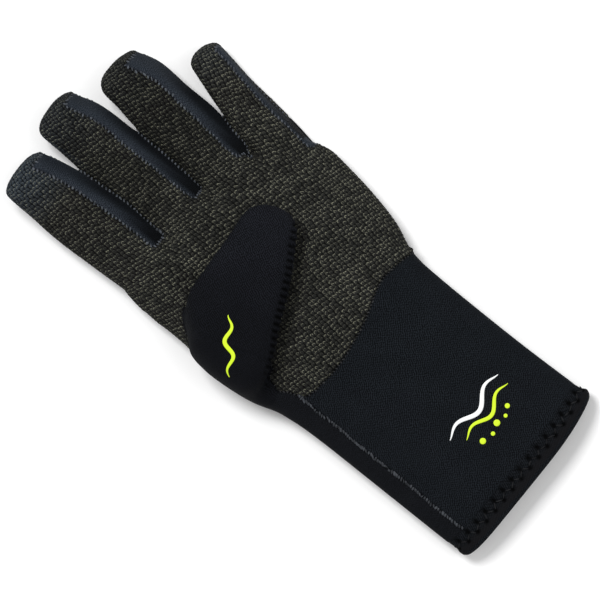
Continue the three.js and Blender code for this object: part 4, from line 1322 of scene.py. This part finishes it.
print("hem: folding the mouth's edge")
hemPoints, hemFaces, hemUv, hemShade, hemWarmth = hemPiece()
solidPiece("hem", hemPoints, hemFaces, looks["hem"], "cuff_neoprene", ["cuff_hem"], hemUv,
           {"shade": hemShade, "haze": hemWarmth})


# lining: the inner face of the cuff, seen through the open mouth. Its closed far end is a dark sheet standing in
# for the shade inside the hand

# first and last: rows of the hand's table. clothAcross and clothAlong: mm of cloth from point to point and a row
lining = {"inset": 4.2, "first": 0.15, "last": 4.6, "rings": 60, "around": 120, "start": 9.0, "closing": 9,
          "clothAcross": 1.9, "clothAlong": 30}


def liningPiece():
    place = np.linspace(lining["first"], lining["last"], lining["rings"])
    rings = handRings(place, lining["around"], lining["inset"])
    middle = rings.mean(1, keepdims=True)
    share = np.ones(lining["rings"])
    share[-lining["closing"]:] = np.sqrt(1 - np.linspace(0, 0.995, lining["closing"]) ** 2)
    rings = middle + (rings - middle) * share[:, None, None]
    rings[:, :, 1] = np.maximum(rings[:, :, 1], hemY + lining["start"])
    rows, count = rings.shape[:2]
    faces = [face[::-1] for face in gridFaces(rows, count)]
    uv = np.stack([np.tile(np.arange(count) * lining["clothAcross"], rows),
                   np.repeat(place * lining["clothAlong"], count)], 1)
    return rings.reshape(-1, 3), faces, uv


liningPoints, liningFaces, liningUv = liningPiece()
solidPiece("lining", liningPoints, liningFaces, looks["lining"], "cuff_neoprene", (), liningUv,
           {"shade": np.zeros(len(liningPoints)), "haze": np.zeros(len(liningPoints))})


# stitches: small closed beads of thread laid along the seams

def seamChains(wanted, shortest=14):
    picked = [k for k, pair in enumerate(map(tuple, seamPair)) if pair in wanted]
    near = {}
    for a, b in seamLinks[picked].tolist():
        near.setdefault(a, []).append(b)
        near.setdefault(b, []).append(a)
    chains, left = [], set(near)
    starts = sorted(near, key=lambda k: (len(near[k]) != 1, k))
    for start in starts:
        if start not in left:
            continue
        chain, here = [start], start
        left.discard(start)
        while True:
            after = [k for k in near[here] if k in left]
            if not after:
                break
            here = after[0]
            left.discard(here)
            chain.append(here)
        if len(chain) >= shortest:
            chains.append(chain)
    return chains


# Even steps along a chain of points, with the skin's normal and the line's direction at each
def walkChain(chain, pitch):
    place, normal = points[chain], finalNormals[chain]
    kernel = np.ones(7) / 7
    padded = np.concatenate([np.repeat(place[:1], 3, 0), place, np.repeat(place[-1:], 3, 0)])
    place = np.stack([np.convolve(padded[:, c], kernel, "valid") for c in range(3)], 1)
    run = np.concatenate([[0], np.cumsum(np.linalg.norm(np.diff(place, axis=0), axis=1))])
    at = np.arange(0.5 * pitch, run[-1], pitch)
    pick = lambda values: np.stack([np.interp(at, run, values[:, c]) for c in range(3)], 1)
    where, up = pick(place), unit(pick(normal))
    ahead = np.stack([np.interp(at + 0.6, run, place[:, c]) - np.interp(at - 0.6, run, place[:, c])
                      for c in range(3)], 1)
    return where, up, unit(ahead)


def ballShape(around=8, rows=5):
    rings = []
    for tilt in np.linspace(0, math.pi, rows + 2)[1:-1]:
        for turn in np.linspace(0, 2 * math.pi, around, endpoint=False):
            rings.append((math.cos(tilt), math.sin(tilt) * math.cos(turn), math.sin(tilt) * math.sin(turn)))
    shape = np.array(rings + [(1, 0, 0), (-1, 0, 0)])
    faces = gridFaces(rows, around)
    top, bottom, last = len(shape) - 2, len(shape) - 1, (rows - 1) * around
    faces += [(top, k, (k + 1) % around) for k in range(around)]
    faces += [(bottom, last + (k + 1) % around, last + k) for k in range(around)]
    return shape, faces


ballPoints, ballFaces = ballShape()
chance = np.random.default_rng(11)
beadStray = {"turn": 60, "size": 0.6, "side": 0.6}  # degrees, share of the size and mm for a jitter of 1


# One joined mesh of beads. long, broad and tall: half sizes. slant: degrees from the line towards its side
def beadPiece(name, spots, look, long, broad, tall, slant, lift, jitter):
    allPoints, allFaces = [], []
    for where, up, ahead in spots:
        across = unit(np.cross(ahead, up))
        for k in range(len(where)):
            angle = math.radians(slant + chance.normal() * beadStray["turn"] * jitter)
            axis = ahead[k] * math.cos(angle) + across[k] * math.sin(angle)
            other = np.cross(up[k], axis)
            size = 1 + jitter * chance.normal(size=3) * beadStray["size"]
            centre = where[k] + up[k] * lift + across[k] * (jitter * chance.normal() * beadStray["side"])
            base = len(allPoints) * len(ballPoints)
            allPoints.append(centre + ballPoints[:, :1] * axis * long * size[0]
                             + ballPoints[:, 1:2] * other * broad * size[1]
                             + ballPoints[:, 2:] * up[k] * tall * size[2])
            allFaces += [tuple(base + i for i in face) for face in ballFaces]
    made = np.concatenate(allPoints)
    made[:, 2] = np.maximum(made[:, 2], skin["lowest"])
    solidPiece(name, made, allFaces, looks[look], "knit")


# seams: the pairs of panels that each thread joins. pitch: mm from stitch to stitch
frontPairs = {(panelId["knit_palm"], panelId[name]) for name in slotNames + ["little_outer_side"]}
cuffIds = [panelId[name] for name in ("cuff_cloth", "cuff_strip")]
threads = tableRows("name seams pitch look long broad tall slant lift jitter", [
    ("front_seam_thread", frontPairs, 2.2, "edge_thread", 1.05, 0.52, 0.48, 58, 0.35, 0.36),
    ("wrist_thread", {(0, k) for k in cuffIds}, 1.9, "grey_thread", 0.9, 0.42, 0.4, 66, 0.45, 0.3),
    ("long_cuff_thread", {tuple(cuffIds)}, 1.5, "pale_thread", 1.05, 0.58, 0.55, 48, 0.4, 0.32),
    ("thumb_edge_thread", {(0, panelId["thumb_top"])}, 1.9, "grey_thread", 0.6, 0.3, 0.3, 60, 0.15, 0.25),
])
for thread in threads:
    spots = [walkChain(chain, thread["pitch"]) for chain in seamChains(thread["seams"])]
    form = {key: value for key, value in thread.items() if key not in ("seams", "pitch")}
    beadPiece(spots=spots, **form)
print("stitches: done")


# hem stitches: thread that crosses from pit to pit

def hemStitches():
    outline = hemRing(hem["zigzagPlace"], -0.05)
    run, pitch = runAndPitch(outline)
    closed = np.concatenate([outline, outline[:1]])
    at = (np.arange(round(run[-1] / pitch)) + 0.5) * pitch
    where = np.stack([np.interp(at, run, closed[:, c]) for c in range(3)], 1)
    ahead = unit(np.stack([np.interp(at + 0.5, run, closed[:, c]) - np.interp(at - 0.5, run, closed[:, c])
                           for c in range(3)], 1))
    up = unit(np.cross(ahead, [0, 1.0, 0]))
    up *= np.sign(np.sum(up * (where - [cuffMiddle, 0, cuffHeight / 2]), 1))[:, None]
    where = pressOnFloor(where)
    return where, up, ahead


where, up, ahead = hemStitches()
up = np.where((where[:, 2] < 1.5)[:, None], [0, 0, -1.0], up)
where = where - up * 0.3
for turn, slant in ((0, 38), (1, -38)):
    spots = [(where[turn::2], up[turn::2], ahead[turn::2])]
    beadPiece("hem_thread_" + "ab"[turn], spots, "dark_thread", 1.6, 0.3, 0.3, slant, lift=-0.05, jitter=0.2)


# prints: thin rubbery waves and drops, laid over the cloth

def laidOnSkin(flat, lift):
    found = []
    for x, y in flat:
        hit = skinTree.ray_cast(Vector((x, y, 80)), Vector((0, 0, -1)))
        found.append(tuple(hit[0] + hit[1] * lift))
    return np.array(found)


# A closed strip along a line of places on the plan, with the given half widths
def printStrip(line, half, thick=0.16, lanes=5):
    ahead = unit(np.gradient(line, axis=0))
    across = np.stack([ahead[:, 1], -ahead[:, 0]], 1)
    shares = np.linspace(-1, 1, lanes)
    spread = line[:, None] + across[:, None] * (half[:, None] * shares[None])[..., None]
    top = laidOnSkin(spread.reshape(-1, 2), thick).reshape(len(line), lanes, 3)
    under = laidOnSkin(spread.reshape(-1, 2), -0.1).reshape(len(line), lanes, 3)
    rings = np.concatenate([top, under[:, ::-1]], 1)
    return loft(rings)


# Place on the plan from a print's own middle, turned by an angle in degrees
def turnedPlan(middle, angle, along, across):
    c, s = math.cos(math.radians(angle)), math.sin(math.radians(angle))
    return np.stack([middle[0] + along * c - across * s, middle[1] + along * s + across * c], 1)


def waveLine(middle, angle, length, rise, waves, steps, lead=0.0):
    t = np.linspace(0, 1, steps)
    swing = rise * np.sin(2 * math.pi * waves * t + lead) * np.sin(math.pi * t) ** 0.5
    return turnedPlan(middle, angle, (t - 0.5) * length, swing), t


def drop(middle, radius, steps=13):
    t = np.linspace(-1, 1, steps)
    half = radius * np.sqrt(np.maximum(1 - t ** 2, 0.02))
    return printStrip(np.stack([middle[0] + t * radius, np.full(steps, middle[1])], 1), half)


thumbPrint = {"middle": (-40, 13), "angle": 40, "length": 31, "rise": 2.2, "waves": 2, "half": 0.95}
cuffPrint = {"middle": (13, -101.5), "angle": 3, "length": 41, "rise": 3.2, "waves": 1.5, "half": 1.05,
             "drops": [(-11, -13.5, 1.6), (-5, -15.4, 1.1), (0.5, -13.8, 1.7), (6, -15.2, 1.0),
                       (10.5, -13.0, 1.3)]}  # along, across, radius


def taperedWave(look, lead=0.0, scale=1.0, shift=(0, 0)):
    middle = (look["middle"][0] + shift[0], look["middle"][1] + shift[1])
    length, rise = look["length"] * scale, look["rise"] * scale
    line, t = waveLine(middle, look["angle"], length, rise, look["waves"], 90, lead)
    return printStrip(line, look["half"] * scale * (0.12 + np.sin(math.pi * t) ** 0.8))


solidPiece("thumb_wave", *taperedWave(thumbPrint, lead=0.6), looks["lime_print"], "smooth_neoprene")
solidPiece("cuff_wave", *taperedWave(cuffPrint), looks["white_print"], "cuff_neoprene")
cuffMarks = [taperedWave(cuffPrint, scale=0.86, shift=(2.5, -6.5))]
for along, across, radius in cuffPrint["drops"]:
    place = turnedPlan(cuffPrint["middle"], cuffPrint["angle"], np.array([along]), np.array([across]))[0]
    cuffMarks.append(drop(place, radius))
solidPiece("cuff_drops", *joined(cuffMarks), looks["lime_print"], "cuff_neoprene")
print("prints: done")


# camera, light and floor

# size: width of the picture in mm at the given height over the floor, in metres like the distance
view = {"size": 300, "lens": 360, "distance": 3.0, "height": 0.02, "turn": -51}
camera = placeInScene("camera", bpy.data.cameras.new("camera"))
camera.location = (-planMiddle[0] * toMetres, -planMiddle[1] * toMetres, view["distance"])
camera.rotation_euler = (0, 0, math.radians(view["turn"]))
camera.data.lens = view["lens"]
camera.data.sensor_width = view["lens"] * view["size"] * toMetres / (view["distance"] - view["height"])
camera.data.clip_end = 20
bpy.context.scene.camera = camera

floorMesh = bpy.data.meshes.new("floor")
floorMesh.from_pydata([(-4, -4, 0), (4, -4, 0), (4, 4, 0), (-4, 4, 0)], [], [(0, 1, 2, 3)])
floor = placeInScene("floor", floorMesh)
floorMesh.materials.append(floorMaterial())


def lamp(name, place, size, power):
    data = bpy.data.lights.new(name, "AREA")
    data.size, data.energy = size, power
    thing = placeInScene(name, data)
    thing.location = place
    thing.rotation_euler = (-Vector(place)).to_track_quat("-Z", "Y").to_euler()


imageRight = np.array([0.629, -0.777])  # where the picture's right side and top lie on the floor
imageUp = np.array([0.777, 0.629])
keyPlace = imageUp * 0.9 - imageRight * 0.9
lamp("key", (keyPlace[0], keyPlace[1], 2.0), 0.8, 40)
lamp("fill", (0.9, -0.9, 1.8), 1.6, 10)
world = bpy.data.worlds.new("studio")
world.use_nodes = True
world.node_tree.nodes["Background"].inputs["Color"].default_value = (1, 1, 1, 1)
world.node_tree.nodes["Background"].inputs["Strength"].default_value = 0.55
bpy.context.scene.world = world
bpy.context.scene.view_settings.view_transform = "Standard"
